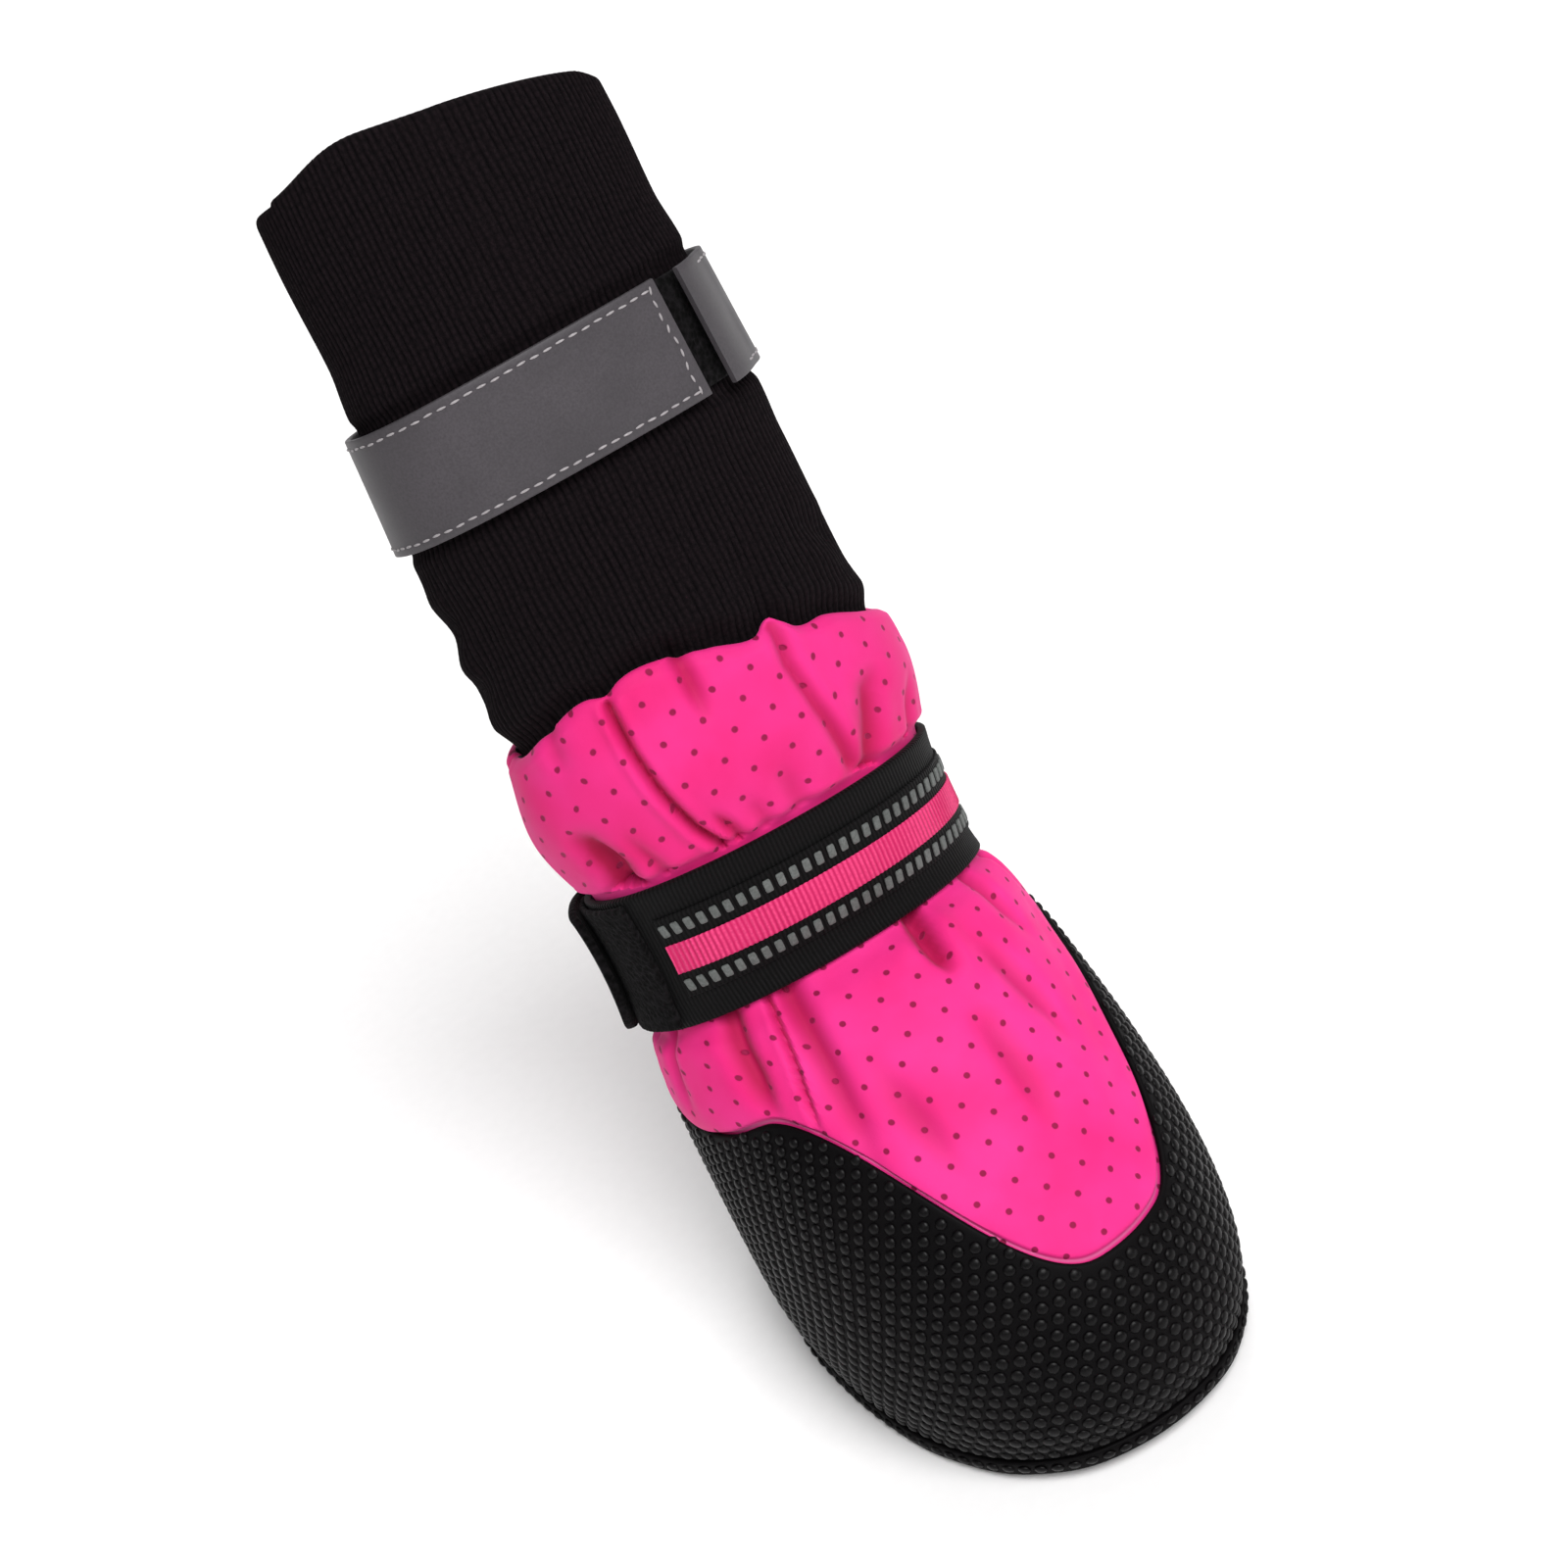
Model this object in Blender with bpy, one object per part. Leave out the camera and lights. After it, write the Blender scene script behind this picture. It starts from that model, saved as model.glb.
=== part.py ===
"""Dog boot with a rib-knit shaft, standing on its sole.

Run with: blender --background --python part.py
Metres, +Z up. The toe points along -Y, +X is the side that lies to the right when the toe
faces the viewer. The origin is on the floor under the ankle.

Every soft piece is a wall laid on one boot form: a stack of tilted rings whose sizes come from
two short tables, one for the foot and one for the shaft.
"""

import math

import bmesh
import bpy
from mathutils import Matrix, Vector

# Foot of the boot form, at the outside of the upper.
BALL_AHEAD = 0.017
TOE_REACH = 0.0575
HEEL_REACH = 0.051
BALL_WIDTH = 0.072
HEEL_TAPER = 0.11
ANKLE_RISE = 0.082
ANKLE_BACK = 0.008
ANKLE_WIDTH = 0.061
ANKLE_DEPTH = 0.046
ANKLE_TILT = math.radians(27.0)

# Shaft of the boot form, from the ankle strap to the collar.
SHAFT_LENGTH = 0.1442
SHAFT_LEAN = math.radians(10.0)
CUFF_WIDTH = 0.057
CUFF_DEPTH = 0.027
COLLAR_TILT = math.radians(26.0)
SHAFT_CANT = math.radians(6.5)

# Sole.
SOLE_THICKNESS = 0.0032
SOLE_EDGE_ROUND = 0.0008
SOLE_RIM = 0.0012
TOE_SPRING = 0.0030
TOE_SPRING_START = 0.030
HEEL_SPRING = 0.0012
HEEL_SPRING_START = 0.022
SPRING_FADE = 0.045
INSOLE_THICKNESS = 0.0018

# Walls.
UPPER_WALL = 0.0016
RAND_WALL = 0.0013
KNIT_WALL = 0.0022
FIT_GAP = 0.0003

# Collar edge of the shaft: how far it falls to the right, at its left corner and at the rear.
COLLAR_FALL = 0.0062
COLLAR_CORNER = 0.0044
COLLAR_REAR = 0.0040
COLLAR_CREST = 0.0008

# Seam of the knit shaft inside the top edge of the upper, as distances along the shaft.
SEAM_RISE = 0.0445
SEAM_TUCK = 0.0070
SEAM_EASE = 0.0060

# Rubber rand: height of its upper edge along the boot form, at front, side and heel. The low
# notch over the toe rises between two angles from its middle, and is turned a little to +X.
RAND_FRONT = 0.0318
RAND_SIDE = 0.0560
RAND_HEEL = 0.0535
RAND_NOTCH_START = math.radians(10.0)
RAND_NOTCH_END = math.radians(68.0)
RAND_NOTCH_TURN = math.radians(12.0)

# Ankle strap.
ANKLE_STRAP_WIDTH = 0.0270
ANKLE_STRAP_DROP = 0.0015
ANKLE_STRAP_WALL = 0.0014
RIBBON_WIDTH = 0.0162
RIBBON_WALL = 0.0005
RIBBON_START = -8
RIBBON_END = 18
PATCH_WALL = 0.0011
PATCH_MARGIN = 0.0006
PATCH_START = 19
PATCH_END = 25
ANKLE_TAB_START = 22
ANKLE_TAB_END = 30
ANKLE_TAB_FREE = 2
ANKLE_TAB_LIFT = 0.0022

# Reflective strap round the knit shaft.
CUFF_STRAP_RISE = 0.0930
CUFF_STRAP_WIDTH = 0.0210
CUFF_STRAP_WALL = 0.0010
CUFF_BASE_WALL = 0.0009
CUFF_BASE_MARGIN = 0.0008
CUFF_STRAP_START = 7
CUFF_STRAP_END = 50
CUFF_TAB_STEPS = 3
CUFF_TAB_LIFT = 0.0018

# Faceting.
AROUND = 44
STRAP_ROWS = 5
RIBBON_ROWS = 3
RAND_ROWS = 7
INSTEP_ROWS = 4
PUFF_ROWS = 6
SHAFT_ROWS = 8
CUFF_STRAP_ROWS = 2
NORMAL_STEP = 0.0005
TURN = 2.0 * math.pi

# Foot sections from the sole up to the ankle strap. rise is a share of ANKLE_RISE, front of
# TOE_REACH, rear of HEEL_REACH and width of BALL_WIDTH; back runs from the ball to the ankle,
# and tilt is a share of the ankle's.
FOOT_COLUMNS = ("rise", "back", "tilt", "front", "rear", "width", "squareness")
FOOT_SECTIONS = (
    (0.00, 0.00, 0.00, 0.960, 0.960, 0.940, 2.30),
    (0.12, 0.00, 0.00, 1.000, 1.000, 0.990, 2.25),
    (0.28, 0.06, 0.08, 0.985, 0.990, 1.000, 2.20),
    (0.44, 0.26, 0.22, 0.930, 0.880, 0.985, 2.15),
    (0.60, 0.55, 0.45, 0.800, 0.700, 0.955, 2.10),
    (0.74, 0.82, 0.64, 0.610, 0.540, 0.920, 2.10),
)

# Shaft sections. rise is a share of SHAFT_LENGTH above the ankle, tilt runs from the ankle's to
# the collar's, cant is a share of the full cant, depth and width run from the ankle's to the
# cuff's, and bulge is the share by which a ring swells.
SHAFT_COLUMNS = ("rise", "tilt", "cant", "depth", "width", "bulge", "squareness")
SHAFT_SECTIONS = (
    (-0.100, 0.00, 0.55, 0.00, 0.00, 0.030, 2.10),
    (0.000, 0.05, 0.70, 0.00, 0.00, 0.000, 2.10),
    (0.100, 0.10, 0.75, 0.02, 0.00, 0.040, 2.10),
    (0.190, 0.20, 0.80, 0.08, 0.02, 0.145, 2.10),
    (0.270, 0.28, 0.85, 0.14, 0.06, 0.125, 2.10),
    (0.325, 0.34, 0.80, 0.20, 0.10, 0.080, 2.15),
    (0.480, 0.50, 0.50, 0.38, 0.20, 0.065, 2.20),
    (0.640, 0.64, 0.25, 0.55, 0.60, 0.040, 2.30),
    (0.790, 0.78, 0.30, 0.75, 0.90, 0.020, 2.40),
    (0.900, 0.90, 0.60, 0.90, 1.00, 0.030, 2.40),
    (1.000, 1.00, 1.00, 1.00, 1.00, 0.010, 2.40),
)


def mix(start, end, share):
    """Value part of the way from start to end."""
    return start + (end - start) * share


def smooth_step(share):
    """Eased share, level at 0 and at 1."""
    share = min(1.0, max(0.0, share))
    return share * share * (3.0 - 2.0 * share)


def form_stations():
    """Rings of the boot form from the sole to the collar, in metres and radians.

    Each ring is (path, back, rise, tilt, cant, front, rear, width, squareness), where path is
    the distance of its centre along the boot's spine.
    """
    rings = []
    for row in FOOT_SECTIONS:
        cell = dict(zip(FOOT_COLUMNS, row))
        rings.append([
            0.0,
            mix(-BALL_AHEAD, ANKLE_BACK, cell["back"]),
            mix(SOLE_THICKNESS + FIT_GAP, ANKLE_RISE, cell["rise"]),
            ANKLE_TILT * cell["tilt"],
            0.0,
            TOE_REACH * cell["front"],
            HEEL_REACH * cell["rear"],
            BALL_WIDTH / 2 * cell["width"],
            cell["squareness"],
        ])
    for row in SHAFT_SECTIONS:
        cell = dict(zip(SHAFT_COLUMNS, row))
        along = SHAFT_LENGTH * cell["rise"]
        depth = mix(ANKLE_DEPTH, CUFF_DEPTH, cell["depth"]) / 2
        width = mix(ANKLE_WIDTH, CUFF_WIDTH, cell["width"]) / 2
        swell = 1.0 + cell["bulge"]
        rings.append([
            0.0,
            ANKLE_BACK + along * math.sin(SHAFT_LEAN),
            ANKLE_RISE + along * math.cos(SHAFT_LEAN),
            mix(ANKLE_TILT, COLLAR_TILT, cell["tilt"]),
            SHAFT_CANT * cell["cant"],
            depth * swell,
            depth * swell,
            width * swell,
            cell["squareness"],
        ])
    for lower, upper in zip(rings, rings[1:]):
        upper[0] = lower[0] + math.hypot(upper[1] - lower[1], upper[2] - lower[2])
    return rings


STATIONS = form_stations()
SPINE_LENGTH = STATIONS[-1][0]
ANKLE_PATH = STATIONS[len(FOOT_SECTIONS) + 1][0]
STRAP_PATH = ANKLE_PATH - ANKLE_STRAP_DROP


def station_at(path):
    """Ring values at a distance along the spine, on a smooth curve through the stations."""
    path = min(SPINE_LENGTH, max(0.0, path))
    index = 0
    while index < len(STATIONS) - 2 and STATIONS[index + 1][0] < path:
        index += 1
    low, high = STATIONS[index], STATIONS[index + 1]
    before = STATIONS[max(0, index - 1)]
    after = STATIONS[min(len(STATIONS) - 1, index + 2)]
    span = high[0] - low[0]
    share = (path - low[0]) / span
    values = []
    for column in range(1, len(low)):
        slope_low = (high[column] - before[column]) / (high[0] - before[0])
        slope_high = (after[column] - low[column]) / (after[0] - low[0])
        square, cube = share * share, share * share * share
        values.append(
            (2 * cube - 3 * square + 1) * low[column]
            + (cube - 2 * square + share) * span * slope_low
            + (3 * square - 2 * cube) * high[column]
            + (cube - square) * span * slope_high
        )
    return values


def spring(point):
    """Lifts a point of the foot with the toe spring and the heel spring of the sole."""
    toe_tip = BALL_AHEAD + TOE_REACH
    heel_tip = HEEL_REACH - BALL_AHEAD
    toe = max(0.0, -point.y - TOE_SPRING_START) / (toe_tip - TOE_SPRING_START)
    heel = max(0.0, point.y - HEEL_SPRING_START) / (heel_tip - HEEL_SPRING_START)
    lift = TOE_SPRING * toe * toe + HEEL_SPRING * min(1.0, heel) ** 2
    fade = 1.0 - smooth_step(point.z / SPRING_FADE)
    return Vector((point.x, point.y, point.z + lift * fade))


def form_point(path, angle):
    """Point of the boot form. angle is 0 on +X, a quarter turn at the toe, a half turn on -X."""
    back, rise, tilt, cant, front, rear, width, squareness = station_at(path)
    power = 2.0 / squareness
    across = math.copysign(abs(math.cos(angle)) ** power, math.cos(angle)) * width
    ahead = math.copysign(abs(math.sin(angle)) ** power, math.sin(angle))
    if ahead < 0.0:
        fade = 1.0 - smooth_step(path / ANKLE_RISE)
        across *= 1.0 - HEEL_TAPER * fade * smooth_step(-ahead / 0.8)
    ahead *= front if ahead > 0.0 else rear
    return Vector((
        across * math.cos(cant),
        back - ahead * math.cos(tilt),
        rise + ahead * math.sin(tilt) - across * math.sin(cant),
    ))


def form_normal(path, angle):
    """Outward direction of the boot form."""
    low = max(0.0, path - NORMAL_STEP)
    high = min(SPINE_LENGTH, path + NORMAL_STEP)
    along = form_point(high, angle) - form_point(low, angle)
    swing = NORMAL_STEP / HEEL_REACH
    around = form_point(path, angle + swing) - form_point(path, angle - swing)
    return along.cross(around).normalized()


def wall_point(path, angle, offset):
    """Point at a distance outside the boot form, with the sole's spring in it.

    Near the sole the offset stays level, so that the pieces end on the sole's flat top.
    """
    normal = form_normal(path, angle)
    level = smooth_step(path / (ANKLE_PATH / 3))
    normal.z *= level
    return spring(form_point(path, angle) + normal.normalized() * offset)


def turn_angles():
    """Angles of the columns round a full ring."""
    return sector(0, AROUND - 1)


def sector(start, end):
    """Angles of the columns from one column number to another, both included."""
    return [TURN * step / AROUND for step in range(start, end + 1)]


def new_object(name, mesh_maker, colour, roughness, metallic=0.0):
    """Adds the bmesh as a named object with its own Principled material."""
    bmesh.ops.recalc_face_normals(mesh_maker, faces=mesh_maker.faces)
    mesh = bpy.data.meshes.new(name)
    mesh_maker.to_mesh(mesh)
    mesh_maker.free()
    mesh.shade_smooth()
    mesh.set_sharp_from_angle(angle=math.radians(40.0))
    material = bpy.data.materials.new(name)
    material.use_nodes = True
    shader = material.node_tree.nodes["Principled BSDF"]
    shader.inputs["Base Color"].default_value = (*colour, 1.0)
    shader.inputs["Roughness"].default_value = roughness
    shader.inputs["Metallic"].default_value = metallic
    mesh.materials.append(material)
    thing = bpy.data.objects.new(name, mesh)
    bpy.context.scene.collection.objects.link(thing)
    return thing


def add_loop(maker, points):
    """Adds a closed loop of edges and returns them."""
    corners = [maker.verts.new(point) for point in points]
    return [
        maker.edges.new((corner, corners[(place + 1) % len(corners)]))
        for place, corner in enumerate(corners)
    ]


def loft(loops, closed):
    """Bridges loops of equal length into a skin; closed joins the last loop to the first."""
    maker = bmesh.new()
    rings = [add_loop(maker, points) for points in loops]
    for lower, upper in zip(rings, rings[1:]):
        bmesh.ops.bridge_loops(maker, edges=lower + upper)
    if closed:
        bmesh.ops.bridge_loops(maker, edges=rings[-1] + rings[0])
    else:
        for ring in (rings[0], rings[-1]):
            bmesh.ops.contextual_create(maker, geom=ring)
    return maker


def tube_wall(outer_rows, inner_rows):
    """Hollow wall from rows of points outside, bottom to top, and inside, bottom to top."""
    return loft(outer_rows + inner_rows[::-1], closed=True)


def strap_band(path_at, angles, low_offset_at, high_offset_at, closed, rows=STRAP_ROWS):
    """Band of rectangular section laid round the form.

    path_at gives (lower, upper) path at an angle, and the offsets give its two faces. Its rows
    stand where the rows of the wall below stand.
    """
    loops = []
    for angle in angles:
        paths = spread(*path_at(angle), rows)
        inside, outside = low_offset_at(angle), high_offset_at(angle)
        loops.append(
            [wall_point(path, angle, outside) for path in paths]
            + [wall_point(path, angle, inside) for path in paths[::-1]]
        )
    return loft(loops, closed)


def spread(start, end, steps):
    """Evenly spaced values from start to end, both ends included."""
    return [mix(start, end, step / steps) for step in range(steps + 1)]


def rand_edge(angle):
    """Path of the rand's upper edge: low over the toe, high round the sides and the heel."""
    from_toe = math.acos(min(1.0, max(-1.0, math.sin(angle + RAND_NOTCH_TURN))))
    side = smooth_step((from_toe - RAND_NOTCH_START) / (RAND_NOTCH_END - RAND_NOTCH_START))
    heel = smooth_step((from_toe - RAND_NOTCH_END) / (math.pi - RAND_NOTCH_END))
    return mix(mix(RAND_FRONT, RAND_SIDE, side), RAND_HEEL, heel)


def rand_paths(angle):
    """Rows of the rand in one column."""
    return spread(0.0, rand_edge(angle), RAND_ROWS)


def upper_paths(angle):
    """Rows of the upper in one column: on the rand's own rows, then up to the gathered edge."""
    strap_low = STRAP_PATH - ANKLE_STRAP_WIDTH / 2
    strap_high = STRAP_PATH + ANKLE_STRAP_WIDTH / 2
    paths = rand_paths(angle)
    paths += spread(rand_edge(angle), strap_low, INSTEP_ROWS)[1:]
    paths += spread(strap_low, strap_high, STRAP_ROWS)[1:]
    return paths + spread(strap_high, ANKLE_PATH + SEAM_RISE, PUFF_ROWS)[1:]


def wall_rows(paths_at, offset_at):
    """Rows of points, bottom to top, at the paths and offsets that each column asks for."""
    columns = [
        [wall_point(path, angle, offset_at(path)) for path in paths_at(angle)]
        for angle in turn_angles()
    ]
    return [list(row) for row in zip(*columns)]


def build_upper():
    """Softshell foot and ankle: open underneath and at its gathered top edge."""
    outer = wall_rows(upper_paths, lambda path: 0.0)
    inner = wall_rows(upper_paths, lambda path: -UPPER_WALL)
    return new_object("upper", tube_wall(outer, inner), (0.90, 0.04, 0.32), 0.75)


def build_rand():
    """Dotted rubber overlay round the foot, from the sole to the rand's edge."""
    outer = wall_rows(rand_paths, lambda path: FIT_GAP + RAND_WALL)
    inner = wall_rows(rand_paths, lambda path: FIT_GAP)
    return new_object("rubber_rand", tube_wall(outer, inner), (0.012, 0.012, 0.012), 0.5)


def shaft_offset(path):
    """Outside of the knit: tucked inside the upper's edge, then out to the form."""
    edge = ANKLE_PATH + SEAM_RISE
    tucked = -(UPPER_WALL + FIT_GAP)
    return mix(tucked, 0.0, smooth_step((path - edge) / SEAM_EASE))


def collar_edge(angle):
    """Path of the shaft's top edge, pulled out of true as a soft cuff is."""
    across, ahead = math.cos(angle), math.sin(angle)
    fall = COLLAR_FALL * (1.0 + across) / 2
    corner = COLLAR_CORNER * smooth_step((-across - 0.5) / 0.5)
    rear = COLLAR_REAR * smooth_step(-ahead / 0.6)
    return SPINE_LENGTH - max(fall, corner) - rear


def shaft_paths(angle):
    """Rows of the shaft in one column, from inside the upper's edge to the collar."""
    edge = ANKLE_PATH + SEAM_RISE
    paths = [edge - SEAM_TUCK, edge, edge + SEAM_EASE / 2]
    return paths + spread(edge + SEAM_EASE, collar_edge(angle) - COLLAR_CREST, SHAFT_ROWS)


def build_shaft():
    """Rib-knit shaft, open at the collar and into the upper, with a rounded top edge."""
    outer = wall_rows(shaft_paths, shaft_offset)
    inner = wall_rows(shaft_paths, lambda path: shaft_offset(path) - KNIT_WALL)
    crest = wall_rows(lambda angle: [collar_edge(angle)], lambda path: -KNIT_WALL / 2)
    rows = tube_wall(outer + crest, inner)
    return new_object("shaft", rows, (0.010, 0.010, 0.011), 0.95)


def outline_ring(offset, height):
    """Foot outline at the sole, moved out by offset, at a height, with the spring in it."""
    ring = []
    for angle in turn_angles():
        normal = form_normal(0.0, angle)
        normal.z = 0.0
        point = form_point(0.0, angle) + normal.normalized() * offset
        ring.append(spring(Vector((point.x, point.y, height))))
    return ring


def plate(low, high, offset, rounding):
    """Flat solid of the foot outline between two heights, its edge rounded.

    Rings shrink towards the middle so that the top and bottom follow the spring.
    """
    middle = Vector((0.0, -BALL_AHEAD, 0.0))
    inner_shares = (0.86, 0.68, 0.45)

    def shrunk(height, share):
        ring = []
        for point in outline_ring(offset - rounding, height):
            flat = middle.lerp(Vector((point.x, point.y, 0.0)), share)
            ring.append(spring(Vector((flat.x, flat.y, height))))
        return ring

    loops = [shrunk(low, share) for share in inner_shares[::-1]]
    loops += [
        outline_ring(offset - rounding, low),
        outline_ring(offset, low + rounding),
        outline_ring(offset, high - rounding),
        outline_ring(offset - rounding, high),
    ]
    loops += [shrunk(high, share) for share in inner_shares]
    return loft(loops, closed=False)


def build_outsole():
    """Sole panel whose rim stands just outside the rand."""
    offset = FIT_GAP + RAND_WALL + SOLE_RIM
    maker = plate(0.0, SOLE_THICKNESS, offset, SOLE_EDGE_ROUND)
    return new_object("outsole", maker, (0.014, 0.014, 0.014), 0.6)


def build_insole():
    """Lining board on the sole, inside the upper."""
    low = SOLE_THICKNESS + FIT_GAP
    maker = plate(low, low + INSOLE_THICKNESS, -(UPPER_WALL + 2 * FIT_GAP), INSOLE_THICKNESS / 3)
    return new_object("insole", maker, (0.05, 0.05, 0.055), 0.9)


def build_ankle_strap():
    """Webbing ring that draws the upper in, with its ribbon, loop patch and free end."""
    low = STRAP_PATH - ANKLE_STRAP_WIDTH / 2
    high = STRAP_PATH + ANKLE_STRAP_WIDTH / 2
    inside = FIT_GAP
    outside = inside + ANKLE_STRAP_WALL
    black = (0.012, 0.012, 0.013)
    webbing = strap_band(
        lambda angle: (low, high), turn_angles(),
        lambda angle: inside, lambda angle: outside, closed=True,
    )
    new_object("ankle_strap", webbing, black, 0.7)

    ribbon_low = STRAP_PATH - RIBBON_WIDTH / 2
    ribbon_high = STRAP_PATH + RIBBON_WIDTH / 2
    face = outside + FIT_GAP
    ribbon = strap_band(
        lambda angle: (ribbon_low, ribbon_high), sector(RIBBON_START, RIBBON_END),
        lambda angle: face, lambda angle: face + RIBBON_WALL, closed=False, rows=RIBBON_ROWS,
    )
    new_object("ankle_ribbon", ribbon, (0.85, 0.08, 0.22), 0.5)

    patch = strap_band(
        lambda angle: (low + PATCH_MARGIN, high - PATCH_MARGIN),
        sector(PATCH_START, PATCH_END),
        lambda angle: face, lambda angle: face + PATCH_WALL, closed=False,
    )
    new_object("ankle_loop_patch", patch, (0.008, 0.008, 0.008), 1.0)

    def lift(angle):
        column = angle / TURN * AROUND
        free = 1.0 - (column - ANKLE_TAB_START) / ANKLE_TAB_FREE
        on_patch = 1.0 - (column - PATCH_END) / (ANKLE_TAB_END - 2 - PATCH_END)
        return (
            face
            + (PATCH_WALL + FIT_GAP) * smooth_step(on_patch)
            + ANKLE_TAB_LIFT * smooth_step(free)
        )

    tab = strap_band(
        lambda angle: (low, high), sector(ANKLE_TAB_START, ANKLE_TAB_END),
        lift, lambda angle: lift(angle) + ANKLE_STRAP_WALL, closed=False,
    )
    new_object("ankle_tab", tab, black, 0.8)


def build_cuff_strap():
    """Loop tape ring with the reflective strap on it, whose free end stands off."""
    centre = ANKLE_PATH + CUFF_STRAP_RISE
    low = centre - CUFF_STRAP_WIDTH / 2
    high = centre + CUFF_STRAP_WIDTH / 2
    base = strap_band(
        lambda angle: (low + CUFF_BASE_MARGIN, high - CUFF_BASE_MARGIN), turn_angles(),
        lambda angle: FIT_GAP, lambda angle: FIT_GAP + CUFF_BASE_WALL, closed=True,
        rows=CUFF_STRAP_ROWS,
    )
    new_object("cuff_strap_base", base, (0.010, 0.010, 0.010), 1.0)
    face = FIT_GAP + CUFF_BASE_WALL + FIT_GAP

    def lift(angle):
        column = angle / TURN * AROUND
        share = 1.0 - (CUFF_STRAP_END - column) / CUFF_TAB_STEPS
        return face + CUFF_TAB_LIFT * smooth_step(share)

    strap = strap_band(
        lambda angle: (low, high), sector(CUFF_STRAP_START, CUFF_STRAP_END),
        lift, lambda angle: lift(angle) + CUFF_STRAP_WALL, closed=False,
        rows=CUFF_STRAP_ROWS,
    )
    new_object("cuff_strap", strap, (0.10, 0.095, 0.105), 0.4)


def clear_scene():
    """Removes whatever the scene holds."""
    for thing in list(bpy.data.objects):
        bpy.data.objects.remove(thing)


def main():
    """Builds every piece of the boot."""
    clear_scene()
    build_outsole()
    build_insole()
    build_upper()
    build_rand()
    build_shaft()
    build_ankle_strap()
    build_cuff_strap()


main()
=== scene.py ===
"""Looks for a dog boot: perforated softshell foot, dotted rubber rand and rib-knit shaft.

Metres, +Z up, toe along -Y, the same frame as the CAD part. Every soft wall is a grid of
(path, angle) rows and columns laid on one boot form: path runs up the spine from the sole, and
angle is 0 on +X, a quarter turn at the toe and a half turn on -X.
"""

import logging
import math
from dataclasses import dataclass, field
from enum import Enum
from functools import cached_property
from typing import Callable, Sequence

import bmesh
import bpy
import numpy as np
from mathutils import Matrix, Vector


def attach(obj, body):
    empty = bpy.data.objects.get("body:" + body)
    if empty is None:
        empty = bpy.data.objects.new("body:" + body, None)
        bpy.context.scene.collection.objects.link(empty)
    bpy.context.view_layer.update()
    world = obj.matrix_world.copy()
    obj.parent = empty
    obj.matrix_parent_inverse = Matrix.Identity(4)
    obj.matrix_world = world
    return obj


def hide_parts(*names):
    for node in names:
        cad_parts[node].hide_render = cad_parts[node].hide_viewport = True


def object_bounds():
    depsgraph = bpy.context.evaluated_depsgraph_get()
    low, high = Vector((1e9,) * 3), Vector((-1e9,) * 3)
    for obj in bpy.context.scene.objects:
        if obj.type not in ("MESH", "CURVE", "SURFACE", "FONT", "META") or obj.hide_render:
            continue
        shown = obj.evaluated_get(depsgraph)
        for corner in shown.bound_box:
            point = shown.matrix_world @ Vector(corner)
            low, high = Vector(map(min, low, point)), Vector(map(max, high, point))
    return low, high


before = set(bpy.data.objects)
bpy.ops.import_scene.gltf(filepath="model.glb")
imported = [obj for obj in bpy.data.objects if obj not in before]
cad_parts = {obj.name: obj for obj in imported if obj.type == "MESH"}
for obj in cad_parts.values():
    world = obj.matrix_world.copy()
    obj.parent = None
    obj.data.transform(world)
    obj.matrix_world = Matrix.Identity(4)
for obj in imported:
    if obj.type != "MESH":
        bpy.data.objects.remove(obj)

CAD_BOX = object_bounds()
LOG = logging.getLogger("dog_boot")
MM = 0.001
TURN = 2.0 * math.pi
CLOTH_MAP = "Cloth"
MARK = "Mark"
SAMPLES = 900
STRAP_COLUMNS = 44

Number = float | np.ndarray
Field = Callable[[np.ndarray, np.ndarray], np.ndarray]
Edge = Callable[[np.ndarray], np.ndarray]


# Small helpers


def mix(start: Number, end: Number, share: Number) -> Number:
    """Value part of the way from start to end."""
    return start + (end - start) * share


def smooth_step(share: Number) -> Number:
    """Eased share, level at 0 and at 1."""
    share = np.clip(share, 0.0, 1.0)
    return share * share * (3.0 - 2.0 * share)


def between(low: Number, high: Number, slopes: tuple, span: Number, share: Number) -> Number:
    """Value on a smooth curve between two knots.

    Args:
        low: Value at the first knot.
        high: Value at the second knot.
        slopes: Slope of the curve at each knot.
        span: Distance between the knots.
        share: Place between them, from 0 to 1.

    Returns:
        The value there.
    """
    square, cube = share**2, share**3
    return (
        (2 * cube - 3 * square + 1) * low + (cube - 2 * square + share) * span * slopes[0]
        + (3 * square - 2 * cube) * high + (cube - square) * span * slopes[1]
    )


def run_lengths(points: np.ndarray, axis: int = 0) -> np.ndarray:
    """Length from the first point of each run to every point of it.

    Args:
        points: Points of one run, or a table of them.
        axis: Axis along the runs.

    Returns:
        The lengths, 0 at each first point.
    """
    steps = np.linalg.norm(np.diff(points, axis=axis), axis=-1)
    start = np.zeros_like(np.take(steps, [0], axis=axis))
    return np.concatenate([start, steps.cumsum(axis=axis)], axis=axis)


def level(path: float) -> Edge:
    """Edge that keeps one path all round."""
    return lambda angle: 0.0 * angle + path


def even(face: float) -> Field:
    """Face that keeps one distance outside the form."""
    return lambda path, angle: face + 0.0 * path


def strap_column(number: float) -> float:
    """Angle of a column of the CAD part's straps."""
    return TURN * number / STRAP_COLUMNS


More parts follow.
